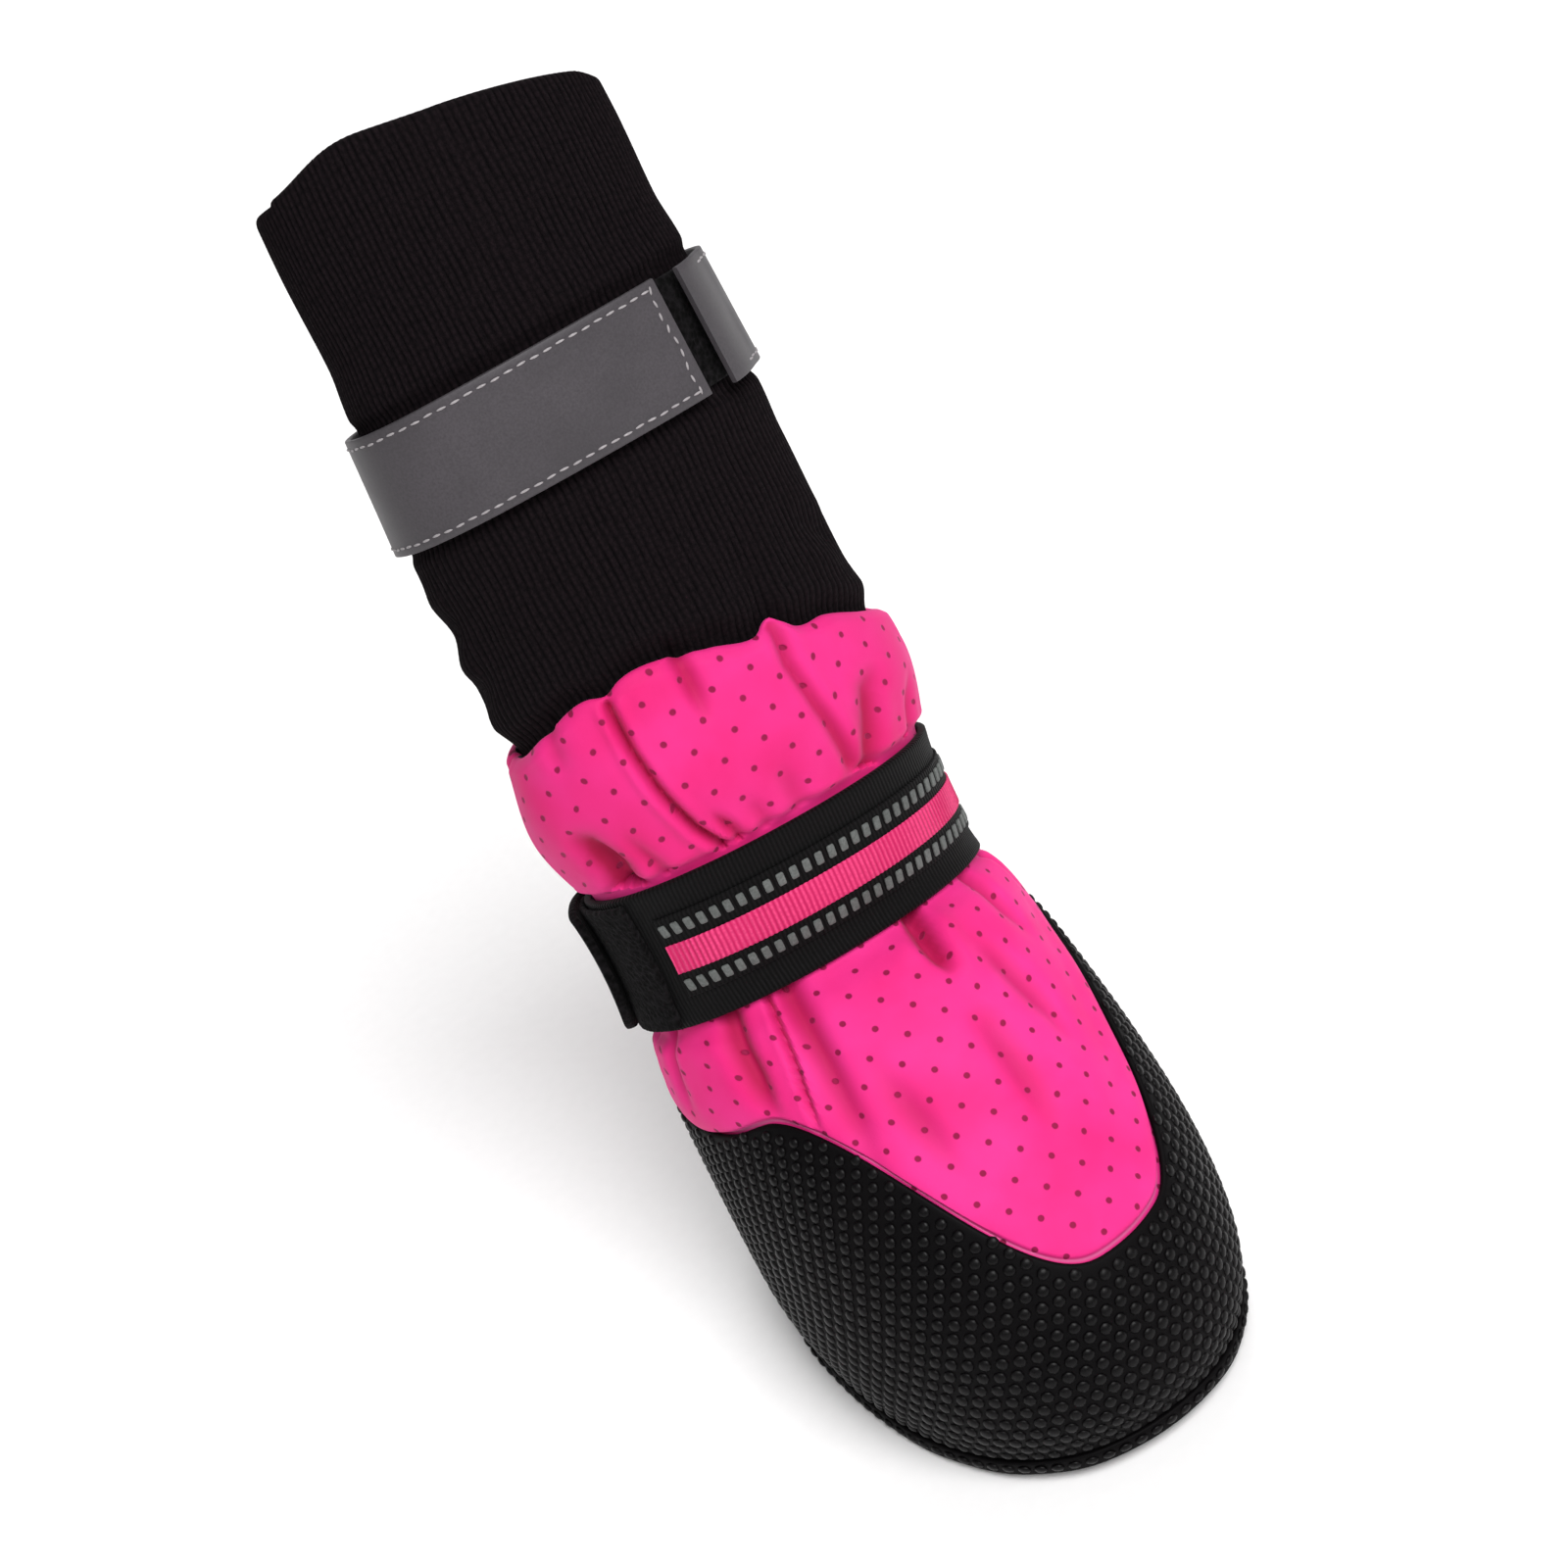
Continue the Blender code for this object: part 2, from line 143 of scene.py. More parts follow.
def round_curve(table: Sequence[tuple[float, float]], degrees: np.ndarray) -> np.ndarray:
    """Smooth closed curve through listed values.

    Args:
        table: (degrees, value) pairs with rising degrees, within one turn.
        degrees: Where the curve is wanted.

    Returns:
        The value at each place.
    """
    knots = np.array(table, float)
    turn = np.vstack([knots - (360.0, 0.0), knots, knots + (360.0, 0.0)])
    slopes = np.gradient(turn[:, 1], turn[:, 0])
    place = np.mod(degrees - knots[0, 0], 360.0) + knots[0, 0]
    low = np.clip(np.searchsorted(turn[:, 0], place, side="right") - 1, 0, len(turn) - 2)
    span = turn[low + 1, 0] - turn[low, 0]
    share = (place - turn[low, 0]) / span
    return between(turn[low, 1], turn[low + 1, 1], (slopes[low], slopes[low + 1]), span, share)


def linear(hex_colour: str) -> tuple[float, float, float, float]:
    """Linear colour with alpha from an sRGB hex value such as "#FF46B0"."""
    parts = [int(hex_colour[place:place + 2], 16) / 255.0 for place in (1, 3, 5)]
    return (*(c / 12.92 if c <= 0.04045 else ((c + 0.055) / 1.055) ** 2.4 for c in parts), 1.0)


def add_node(tree: bpy.types.NodeTree, kind: str, inputs: dict | None = None,
             **settings: object) -> bpy.types.Node:
    """Adds a shader node with its settings and links.

    Args:
        tree: Node tree of the material.
        kind: Node type.
        inputs: Socket name or number to a value, or to the output socket linked into it.
        **settings: Properties of the node.

    Returns:
        The new node.
    """
    made = tree.nodes.new(kind)
    for name, value in settings.items():
        setattr(made, name, value)
    for socket, value in (inputs or {}).items():
        if isinstance(value, bpy.types.NodeSocket):
            tree.links.new(value, made.inputs[socket])
        else:
            made.inputs[socket].default_value = value
    return made


# The boot form


@dataclass(frozen=True)
class BootForm:
    """Boot form that the walls are laid on, with the sizes of the CAD part."""

    ball_ahead: float = 0.017
    toe_reach: float = 0.0575
    heel_reach: float = 0.051
    ball_width: float = 0.072
    heel_taper: float = 0.11
    ankle_rise: float = 0.082
    ankle_back: float = 0.008
    ankle_width: float = 0.061
    ankle_depth: float = 0.046
    ankle_tilt: float = math.radians(27.0)
    shaft_length: float = 0.1442
    shaft_lean: float = math.radians(10.0)
    cuff_width: float = 0.057
    cuff_depth: float = 0.027
    collar_tilt: float = math.radians(26.0)
    shaft_cant: float = math.radians(6.5)
    sole_top: float = 0.0035
    toe_spring: float = 0.0030
    toe_spring_start: float = 0.030
    heel_spring: float = 0.0012
    heel_spring_start: float = 0.022
    spring_fade: float = 0.045
    collar_fall: float = 0.0062
    collar_corner: float = 0.0044
    collar_rear: float = 0.0040
    rand_front: float = 0.0318
    rand_side: float = 0.0560
    rand_heel: float = 0.0535
    rand_notch_start: float = math.radians(10.0)
    rand_notch_end: float = math.radians(68.0)
    rand_notch_turn: float = math.radians(12.0)
    rand_wander: tuple = (
        (20, 0.0), (95, 0.0), (108, 0.9), (120, 1.7), (135, 1.9), (148, 0.9), (160, -0.9),
        (172, -2.0), (190, -1.8), (215, -0.5), (240, 0.0),
    )
    step: float = 0.0005
    foot_rows: tuple = (
        (0.00, 0.00, 0.00, 0.960, 0.960, 0.940, 2.30),
        (0.12, 0.00, 0.00, 1.000, 1.000, 0.990, 2.25),
        (0.28, 0.06, 0.08, 0.985, 0.990, 1.000, 2.20),
        (0.44, 0.26, 0.22, 0.930, 0.880, 0.985, 2.15),
        (0.60, 0.55, 0.45, 0.800, 0.700, 0.955, 2.10),
        (0.74, 0.82, 0.64, 0.610, 0.540, 0.920, 2.10),
    )
    shaft_rows: tuple = (
        (-0.100, 0.00, 0.55, 0.00, 0.00, 0.030, 2.10),
        (0.000, 0.05, 0.70, 0.00, 0.00, 0.000, 2.10),
        (0.100, 0.10, 0.75, 0.02, 0.00, 0.040, 2.10),
        (0.190, 0.20, 0.80, 0.08, 0.02, 0.145, 2.10),
        (0.270, 0.28, 0.85, 0.14, 0.06, 0.125, 2.10),
        (0.325, 0.34, 0.80, 0.20, 0.10, 0.080, 2.15),
        (0.480, 0.50, 0.50, 0.38, 0.20, 0.065, 2.20),
        (0.640, 0.64, 0.25, 0.55, 0.60, 0.040, 2.30),
        (0.790, 0.78, 0.30, 0.75, 0.90, 0.020, 2.40),
        (0.900, 0.90, 0.60, 0.90, 1.00, 0.030, 2.40),
        (1.000, 1.00, 1.00, 1.00, 1.00, 0.010, 2.40),
    )

    @cached_property
    def rings(self) -> np.ndarray:
        """Rings from sole to collar: path, back, rise, tilt, cant, front, rear, width, square.

        Returns:
            One row for each ring.
        """
        rings = []
        for rise, back, tilt, front, rear, width, square in self.foot_rows:
            rings.append([
                0.0, mix(-self.ball_ahead, self.ankle_back, back),
                mix(self.sole_top, self.ankle_rise, rise), self.ankle_tilt * tilt, 0.0,
                self.toe_reach * front, self.heel_reach * rear, self.ball_width / 2 * width,
                square,
            ])
        for rise, tilt, cant, depth, width, bulge, square in self.shaft_rows:
            along = self.shaft_length * rise
            half_depth = mix(self.ankle_depth, self.cuff_depth, depth) / 2 * (1.0 + bulge)
            half_width = mix(self.ankle_width, self.cuff_width, width) / 2 * (1.0 + bulge)
            rings.append([
                0.0, self.ankle_back + along * math.sin(self.shaft_lean),
                self.ankle_rise + along * math.cos(self.shaft_lean),
                mix(self.ankle_tilt, self.collar_tilt, tilt), self.shaft_cant * cant,
                half_depth, half_depth, half_width, square,
            ])
        table = np.array(rings)
        steps = np.hypot(np.diff(table[:, 1]), np.diff(table[:, 2]))
        table[1:, 0] = np.cumsum(steps)
        return table

    @property
    def length(self) -> float:
        """Length of the spine from the sole to the collar."""
        return float(self.rings[-1, 0])

    @property
    def ankle_path(self) -> float:
        """Path of the ankle."""
        return float(self.rings[len(self.foot_rows) + 1, 0])

    def ring_at(self, path: np.ndarray) -> np.ndarray:
        """Ring values at each path, on a smooth curve through the rings.

        Args:
            path: Paths on the spine.

        Returns:
            One ring for each path.
        """
        rings = self.rings
        path = np.clip(path, 0.0, self.length)
        low = np.clip(np.searchsorted(rings[:, 0], path, side="left") - 1, 0, len(rings) - 2)
        before, after = np.maximum(low - 1, 0), np.minimum(low + 2, len(rings) - 1)
        here, there = rings[low], rings[low + 1]
        span = (there[..., 0] - here[..., 0])[..., None]
        share = (path - here[..., 0])[..., None] / span
        slope_low = (there - rings[before]) / (there - rings[before])[..., :1]
        slope_high = (rings[after] - here) / (rings[after] - here)[..., :1]
        return between(here, there, (slope_low, slope_high), span, share)

    def point(self, path: np.ndarray, angle: np.ndarray) -> np.ndarray:
        """Points of the form.

        Args:
            path: Paths on the spine.
            angle: Angles round it.

        Returns:
            One point for each place.
        """
        ring = self.ring_at(path)
        back, rise, tilt, cant = (ring[..., place] for place in (1, 2, 3, 4))
        front, rear, width, square = (ring[..., place] for place in (5, 6, 7, 8))
        cosine, sine = np.cos(angle), np.sin(angle)
        across = np.sign(cosine) * np.abs(cosine) ** (2.0 / square) * width
        ahead = np.sign(sine) * np.abs(sine) ** (2.0 / square)
        fade = 1.0 - smooth_step(path / self.ankle_rise)
        across = across * (1.0 - self.heel_taper * fade * smooth_step(-ahead / 0.8))
        ahead = ahead * np.where(ahead > 0.0, front, rear)
        return np.stack([
            across * np.cos(cant),
            back - ahead * np.cos(tilt),
            rise + ahead * np.sin(tilt) - across * np.sin(cant),
        ], axis=-1)

    def normal(self, path: np.ndarray, angle: np.ndarray) -> np.ndarray:
        """Outward directions of the form.

        Args:
            path: Paths on the spine.
            angle: Angles round it.

        Returns:
            One unit direction for each place.
        """
        low = np.maximum(path - self.step, 0.0)
        high = np.minimum(path + self.step, self.length)
        along = self.point(high, angle) - self.point(low, angle)
        swing = self.step / self.heel_reach
        around = self.point(path, angle + swing) - self.point(path, angle - swing)
        out = np.cross(along, around)
        return out / np.linalg.norm(out, axis=-1, keepdims=True)

    def spring(self, points: np.ndarray) -> np.ndarray:
        """Lifts points of the foot with the toe spring and the heel spring.

        Args:
            points: Points of the boot.

        Returns:
            The lifted points.
        """
        toe_tip, heel_tip = self.ball_ahead + self.toe_reach, self.heel_reach - self.ball_ahead
        ahead, height = -points[..., 1], points[..., 2]
        toe = np.maximum(0.0, ahead - self.toe_spring_start) / (toe_tip - self.toe_spring_start)
        heel = np.maximum(0.0, -ahead - self.heel_spring_start)
        heel = np.minimum(1.0, heel / (heel_tip - self.heel_spring_start))
        lift = self.toe_spring * toe**2 + self.heel_spring * heel**2
        fade = 1.0 - smooth_step(height / self.spring_fade)
        return points + np.stack([0.0 * lift, 0.0 * lift, lift * fade], axis=-1)

    def wall(self, path: np.ndarray, angle: np.ndarray, offset: np.ndarray) -> np.ndarray:
        """Points at a distance outside the form; near the sole the offset stays level.

        Args:
            path: Paths on the spine.
            angle: Angles round it.
            offset: Distance outside the form.

        Returns:
            One point for each place.
        """
        path, angle, offset = np.broadcast_arrays(path, angle, offset)
        out = self.normal(path, angle)
        out[..., 2] *= smooth_step(path / (self.ankle_path / 3))
        out /= np.linalg.norm(out, axis=-1, keepdims=True)
        return self.spring(self.point(path, angle) + out * offset[..., None])

    def radius(self, path: np.ndarray) -> np.ndarray:
        """Mean radius of the ring at each path."""
        ring = self.ring_at(path)
        return (ring[..., 5] + ring[..., 6] + 2.0 * ring[..., 7]) / 4.0

    def rand_edge(self, angle: np.ndarray) -> np.ndarray:
        """Path of the rand's upper edge: low over the toe, high round the sides and heel.

        Args:
            angle: Angles round it.

        Returns:
            Its path at each angle.
        """
        from_toe = np.arccos(np.clip(np.sin(angle + self.rand_notch_turn), -1.0, 1.0))
        start, end = self.rand_notch_start, self.rand_notch_end
        side = smooth_step((from_toe - start) / (end - start))
        heel = smooth_step((from_toe - end) / (math.pi - end))
        wander = round_curve(self.rand_wander, np.degrees(angle)) * MM
        return mix(mix(self.rand_front, self.rand_side, side), self.rand_heel, heel) + wander

    def collar_edge(self, angle: np.ndarray) -> np.ndarray:
        """Path of the shaft's top edge, pulled out of true as a soft cuff is.

        Args:
            angle: Angles round it.

        Returns:
            Its path at each angle.
        """
        across, ahead = np.cos(angle), np.sin(angle)
        fall = self.collar_fall * ((1.0 + across) / 2) ** 1.9
        corner = self.collar_corner * smooth_step((-across - 0.3) / 0.7) ** 1.4
        round_right = 0.0012 * smooth_step((across - 0.8) / 0.2)
        step = 0.0006 * smooth_step((-across - 0.93) / 0.015)
        rear = self.collar_rear * smooth_step(-ahead / 0.6)
        return self.length - fall - corner - round_right - step - rear

    def seat(self, path: float, angle: float, offset: float) -> Matrix:
        """Matrix on the wall with X round the boot, Y up it and Z outwards.

        Args:
            path: Path of the seat.
            angle: Angle of the seat.
            offset: Distance outside the form.

        Returns:
            The seat's matrix.
        """
        here = np.array([path, path, path + self.step])
        turn = np.array([angle, angle + 0.002, angle])
        origin, side, above = (Vector(p) for p in self.wall(here, turn, np.full(3, offset)))
        around, up = (side - origin).normalized(), (above - origin).normalized()
        # Angles rise clockwise seen from above, so round x up points inwards.
        out = up.cross(around).normalized()
        if out.dot(Vector(self.normal(here[:1], turn[:1])[0])) < 0.0:
            out.negate()
        up = out.cross(around).normalized()
        seat = Matrix((around, up, out)).transposed().to_4x4()
        seat.translation = origin
        return seat

    def even_angles(self, path: float, start: float, end: float, pitch: float,
                    offset: float = 0.0) -> np.ndarray:
        """Angles that stand at an even pitch along the wall.

        Args:
            path: Path of the run.
            start: First angle.
            end: Last angle.
            pitch: Distance wanted between neighbours, in metres.
            offset: Distance of the run outside the form.

        Returns:
            Angles of the middles of the steps.
        """
        angles = np.linspace(start, end, SAMPLES)
        reach = run_lengths(self.wall(np.full(SAMPLES, path), angles, np.full(SAMPLES, offset)))
        count = max(1, round(reach[-1] / pitch))
        return np.interp((np.arange(count) + 0.5) * reach[-1] / count, reach, angles)


class Rim(Enum):
    """How a wall ends at an edge."""

    SQUARE = 0
    ROUND = 6


@dataclass
class Wall:
    """Closed wall of cloth, rubber or webbing laid on the boot form.

    Attributes:
        form: The boot form.
        anchors: (edge function, rows up to the next edge), bottom to top.
        columns: Faces round the boot.
        thickness: Thickness of the wall.
        relief: Offset of the outer face outside the form, at each path and angle.
        start: Angle of the first column, the heel for a full ring.
        end: Angle of the last column.
        bottom: How the lower edge ends.
        top: How the upper edge ends.
        inner_share: Rows of the inner face, as a share of the outer rows.
        reach: How far a round edge bulges, half the thickness if none.
        datum: Path where the cloth map's height is zero.
        gather: Share of the folds' extra length that the cloth map takes up.
        mark: Value kept at each path and angle for the finish to read, if any.
    """

    form: BootForm
    anchors: Sequence[tuple[Edge, int]]
    columns: int
    thickness: float
    relief: Field
    start: float = -TURN / 4
    end: float = 3 * TURN / 4
    bottom: Rim = Rim.ROUND
    top: Rim = Rim.ROUND
    inner_share: float = 0.5
    datum: float = 0.0
    reach: float | None = None
    gather: float = 0.0
    mark: Field | None = None

    def row_table(self, angles: np.ndarray) -> tuple[np.ndarray, np.ndarray]:
        """Paths of every row in every column, and how deep in the wall each row lies.

        Args:
            angles: Angle of every column.

        Returns:
            Table of paths, and the depth of each row, 0 outside and 1 inside.
        """
        stops = [np.array(edge(angles), float) for edge, _ in self.anchors]
        radius = self.thickness / 2 if self.reach is None else self.reach
        stops[0] = stops[0] + (radius if self.bottom is Rim.ROUND else 0.0)
        stops[-1] = stops[-1] - (radius if self.top is Rim.ROUND else 0.0)
        paths, depths = [], []
        for (low, high), (_, count) in zip(zip(stops, stops[1:]), self.anchors):
            paths += [mix(low, high, step / count) for step in range(count)]
        paths.append(stops[-1])
        depths += [0.0] * len(paths)
        for step in range(1, self.top.value):
            swing = math.pi * step / self.top.value
            paths.append(stops[-1] + radius * math.sin(swing))
            depths.append((1.0 - math.cos(swing)) / 2)
        counts = [max(2, round(count * self.inner_share)) for _, count in self.anchors[:-1]]
        for high, low, count in zip(stops[:0:-1], stops[-2::-1], counts[::-1]):
            paths += [mix(high, low, step / count) for step in range(count)]
        paths.append(stops[0])
        depths += [1.0] * (sum(counts) + 1)
        for step in range(1, self.bottom.value):
            swing = math.pi * step / self.bottom.value
            paths.append(stops[0] - radius * math.sin(swing))
            depths.append((1.0 + math.cos(swing)) / 2)
        paths.append(stops[0])
        depths.append(0.0)
        return np.array(paths), np.array(depths)

    def cloth_map(self, paths: np.ndarray, angles: np.ndarray) -> tuple[np.ndarray, np.ndarray]:
        """Lays the wall out flat, as its cloth was before it was sewn.

        Args:
            paths: Path of every row in every column.
            angles: Angle of every column.

        Returns:
            Distance round the boot from its front and height over the datum, both in mm.
        """
        steps = 160
        ladder = np.linspace(paths.min(), paths.max(), steps + 1)
        rungs = np.broadcast_to(ladder[:, None], (steps + 1, len(angles)))
        turns = np.broadcast_to(angles, rungs.shape)
        points = self.form.wall(rungs, turns, self.gather * self.relief(rungs, turns))
        datum = np.argmin(np.abs(ladder - self.datum))
        front = np.argmin(np.abs(angles - TURN / 4))
        around = run_lengths(points, 1)
        around = (around - around[:, front:front + 1]) / MM
        # Behind, every row keeps the datum's spacing, so the map isn't sheared there.
        behind = smooth_step((np.abs(np.degrees(angles) - 90.0) - 80.0) / 60.0)
        around = mix(around, around[datum], behind)
        climb = run_lengths(points) / MM
        climb = climb - climb[datum]
        place = (paths - ladder[0]) / (ladder[1] - ladder[0])
        low = np.clip(place.astype(int), 0, steps - 1)
        share, column = place - low, np.arange(len(angles))
        return (mix(around[low, column], around[low + 1, column], share),
                mix(climb[low, column], climb[low + 1, column], share))

    def build(self, name: str, finish: bpy.types.Material,
              lining: bpy.types.Material | None = None) -> bpy.types.Object:
        """Makes the wall from a grid that is rolled up and welded.

        Args:
            name: Name of the piece.
            finish: Material of the wall.
            lining: Material of its inner face, if another.

        Returns:
            The finished piece.
        """
        angles = np.linspace(self.start, self.end, self.columns + 1)
        paths, depths = self.row_table(angles)
        turns = np.broadcast_to(angles, paths.shape)
        offsets = self.relief(paths, turns) - self.thickness * depths[:, None]
        mesh, row, column = grid_mesh(name, self.form.wall(paths, turns, offsets))
        around, climb = self.cloth_map(paths, angles)
        corner = np.empty(len(mesh.loops), int)
        mesh.loops.foreach_get("vertex_index", corner)
        spots = np.stack([around[row, column], climb[row, column]], axis=1)[corner]
        mesh.uv_layers.new(name=CLOTH_MAP).data.foreach_set("uv", spots.ravel())
        if self.mark is not None:
            marks = mesh.attributes.new(MARK, "FLOAT", "POINT")
            marks.data.foreach_set("value", self.mark(paths, turns)[row, column])
        mesh.materials.append(finish)
        if lining is not None:
            mesh.materials.append(lining)
            inner = depths[row][corner].reshape(-1, 4).min(axis=1) > 0.7
            mesh.polygons.foreach_set("material_index", inner.astype(int))
        return welded(name, mesh)


def grid_mesh(name: str, points: np.ndarray) -> tuple[bpy.types.Mesh, np.ndarray, np.ndarray]:
    """Lays a grid on a table of points.

    Args:
        name: Name of the mesh.
        points: Point of every row and column.

    Returns:
        The mesh, and the row and the column of each of its vertices.
    """
    rows, columns = points.shape[0] - 1, points.shape[1] - 1
    mesh = bpy.data.meshes.new(name)
    maker = bmesh.new()
    bmesh.ops.create_grid(maker, x_segments=columns, y_segments=rows, size=0.5)
    maker.to_mesh(mesh)
    maker.free()
    flat = np.empty(len(mesh.vertices) * 3)
    mesh.vertices.foreach_get("co", flat)
    flat = flat.reshape(-1, 3)
    column = np.rint((flat[:, 0] + 0.5) * columns).astype(int)
    row = np.rint((flat[:, 1] + 0.5) * rows).astype(int)
    mesh.vertices.foreach_set("co", points[row, column].ravel())
    return mesh, row, column


def welded(name: str, mesh: bpy.types.Mesh) -> bpy.types.Object:
    """Welds the meeting edges of a rolled-up grid, and closes its ends.

    Args:
        name: Name of the piece.
        mesh: The grid, laid on its points.

    Returns:
        The finished piece.
    """
    maker = bmesh.new()
    maker.from_mesh(mesh)
    bmesh.ops.remove_doubles(maker, verts=maker.verts, dist=1e-6)
    open_edges = [edge for edge in maker.edges if edge.is_boundary]
    if open_edges:
        bmesh.ops.holes_fill(maker, edges=open_edges, sides=0)
    bmesh.ops.recalc_face_normals(maker, faces=maker.faces)
    return finished(name, maker, mesh)


def finished(name: str, maker: bmesh.types.BMesh, mesh: bpy.types.Mesh,
             sharp: float = 50.0) -> bpy.types.Object:
    """Turns a bmesh into a smooth-shaded object at the origin.

    Args:
        name: Name of the piece.
        maker: The finished bmesh, freed here.
        mesh: Mesh that takes it, with its materials.
        sharp: Edges over this angle, in degrees, stay sharp.

    Returns:
        The new object.
    """
    maker.to_mesh(mesh)
    maker.free()
    mesh.shade_smooth()
    mesh.set_sharp_from_angle(angle=math.radians(sharp))
    piece = bpy.data.objects.new(name, mesh)
    bpy.context.scene.collection.objects.link(piece)
    return piece


def repeated(maker: bmesh.types.BMesh, seats: Sequence[Matrix]) -> bmesh.types.BMesh:
    """Repeats a small shape at many seats by doubling it along X, then moving each copy home.

    Args:
        maker: The shape, closed and within one unit of the origin.
        seats: Place, turn and size of each copy.

    Returns:
        The same bmesh with one copy at each seat.
    """
    spacing, count = 8.0, 1
    while count < len(seats):
        made = bmesh.ops.duplicate(maker, geom=maker.verts[:] + maker.edges[:] + maker.faces[:])
        copied = [part for part in made["geom"] if isinstance(part, bmesh.types.BMVert)]
        bmesh.ops.translate(maker, verts=copied, vec=(spacing * count, 0.0, 0.0))
        count *= 2
    spare = [vert for vert in maker.verts if round(vert.co.x / spacing) >= len(seats)]
    bmesh.ops.delete(maker, geom=spare, context="VERTS")
    for vert in maker.verts:
        number = round(vert.co.x / spacing)
        vert.co = seats[number] @ Vector((vert.co.x - number * spacing, vert.co.y, vert.co.z))
    return maker


def domes(name: str, seats: Sequence[Matrix], finish: bpy.types.Material) -> bpy.types.Object:
    """Makes one small dome at each seat, all as one piece.

    Args:
        name: Name of the piece.
        seats: Place, turn and size of each dome.
        finish: Material of the domes.

    Returns:
        The finished piece.
    """
    mesh = bpy.data.meshes.new(name)
    mesh.materials.append(finish)
    maker = bmesh.new()
    bmesh.ops.create_uvsphere(maker, u_segments=8, v_segments=6, radius=1.0)
    repeated(maker, seats)
    bmesh.ops.recalc_face_normals(maker, faces=maker.faces)
    return finished(name, maker, mesh, 80.0)


def settle(piece: bpy.types.Object, slot: str, *nodes: str) -> bpy.types.Object:
    """Rides a piece on the boot, hides the CAD nodes that it stands for and logs its triangles.

    Args:
        piece: The dressed piece.
        slot: Slot of its finish; not used.
        *nodes: CAD nodes that it replaces.

    Returns:
        The same piece.
    """
    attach(piece, "root")
    if nodes:
        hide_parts(*nodes)
    faces = sum(len(face.vertices) - 2 for face in piece.data.polygons)
    LOG.info("%s: %d triangles", piece.name, faces)
    return piece


# Folds


@dataclass(frozen=True)
class Crease:
    """Gathered fold, given in millimetres.

    Attributes:
        course: (path in mm, angle in degrees) along the bottom of the fold.
        width: Half width of its groove.
        depth: Depth of the groove.
        hollow: Depth of the broad hollow round it.
        ridge: Height of the cloth rolled up beside it.
        fades: Shares of the course over which it fades in and out.
    """

    course: tuple
    width: float
    depth: float
    hollow: float
    ridge: float
    fades: tuple

    def height(self, path: np.ndarray, degrees: np.ndarray, radius: np.ndarray) -> np.ndarray:
        """Height of the fold at paths in mm, angles in degrees and radii in mm.

        Args:
            path: Paths, in mm.
            degrees: Angles, in degrees.
            radius: Mean radius of the boot at each path, in mm.

        Returns:
            Height at each place, in mm.
        """
        near = np.full(path.shape, 1e9)
        along = np.zeros(path.shape)
        lengths = [
            math.hypot(p1 - p0, math.radians(a1 - a0) * 30.0)
            for (p0, a0), (p1, a1) in zip(self.course, self.course[1:])
        ]
        gone = 0.0
        for (p0, a0), (p1, a1), length in zip(self.course, self.course[1:], lengths):
            side = np.radians(np.mod(degrees - a0 + 180.0, 360.0) - 180.0) * radius
            up = path - p0
            run, rise = math.radians(a1 - a0) * radius, p1 - p0
            share = np.clip((side * run + up * rise) / (run**2 + rise**2 + 1e-9), 0.0, 1.0)
            gap = np.hypot(side - share * run, up - share * rise)
            closer = gap < near
            near = np.where(closer, gap, near)
            along = np.where(closer, (gone + share * length) / sum(lengths), along)
            gone += length
        first, last = (max(fade, 1e-3) for fade in self.fades)
        taper = smooth_step(along / first) * smooth_step((1.0 - along) / last)
        groove = self.depth * np.exp(-((near / self.width) ** 2))
        hollow = self.hollow * np.exp(-((near / (3.4 * self.width)) ** 2))
        ridge = self.ridge * np.exp(-(((near - 2.3 * self.width) / (1.2 * self.width)) ** 2))
        return taper * (ridge - groove - hollow)


def folds_at(creases: Sequence[Crease], form: BootForm, path: np.ndarray,
             angle: np.ndarray) -> np.ndarray:
    """Height in mm of a set of folds at each path and angle.

    Args:
        creases: The folds.
        form: The boot form.
        path: Paths on the spine.
        angle: Angles round it.

    Returns:
        Height at each place, in mm.
    """
    here, degrees, radius = path / MM, np.degrees(angle), form.radius(path) / MM
    return sum(crease.height(here, degrees, radius) for crease in creases)


# Finishes


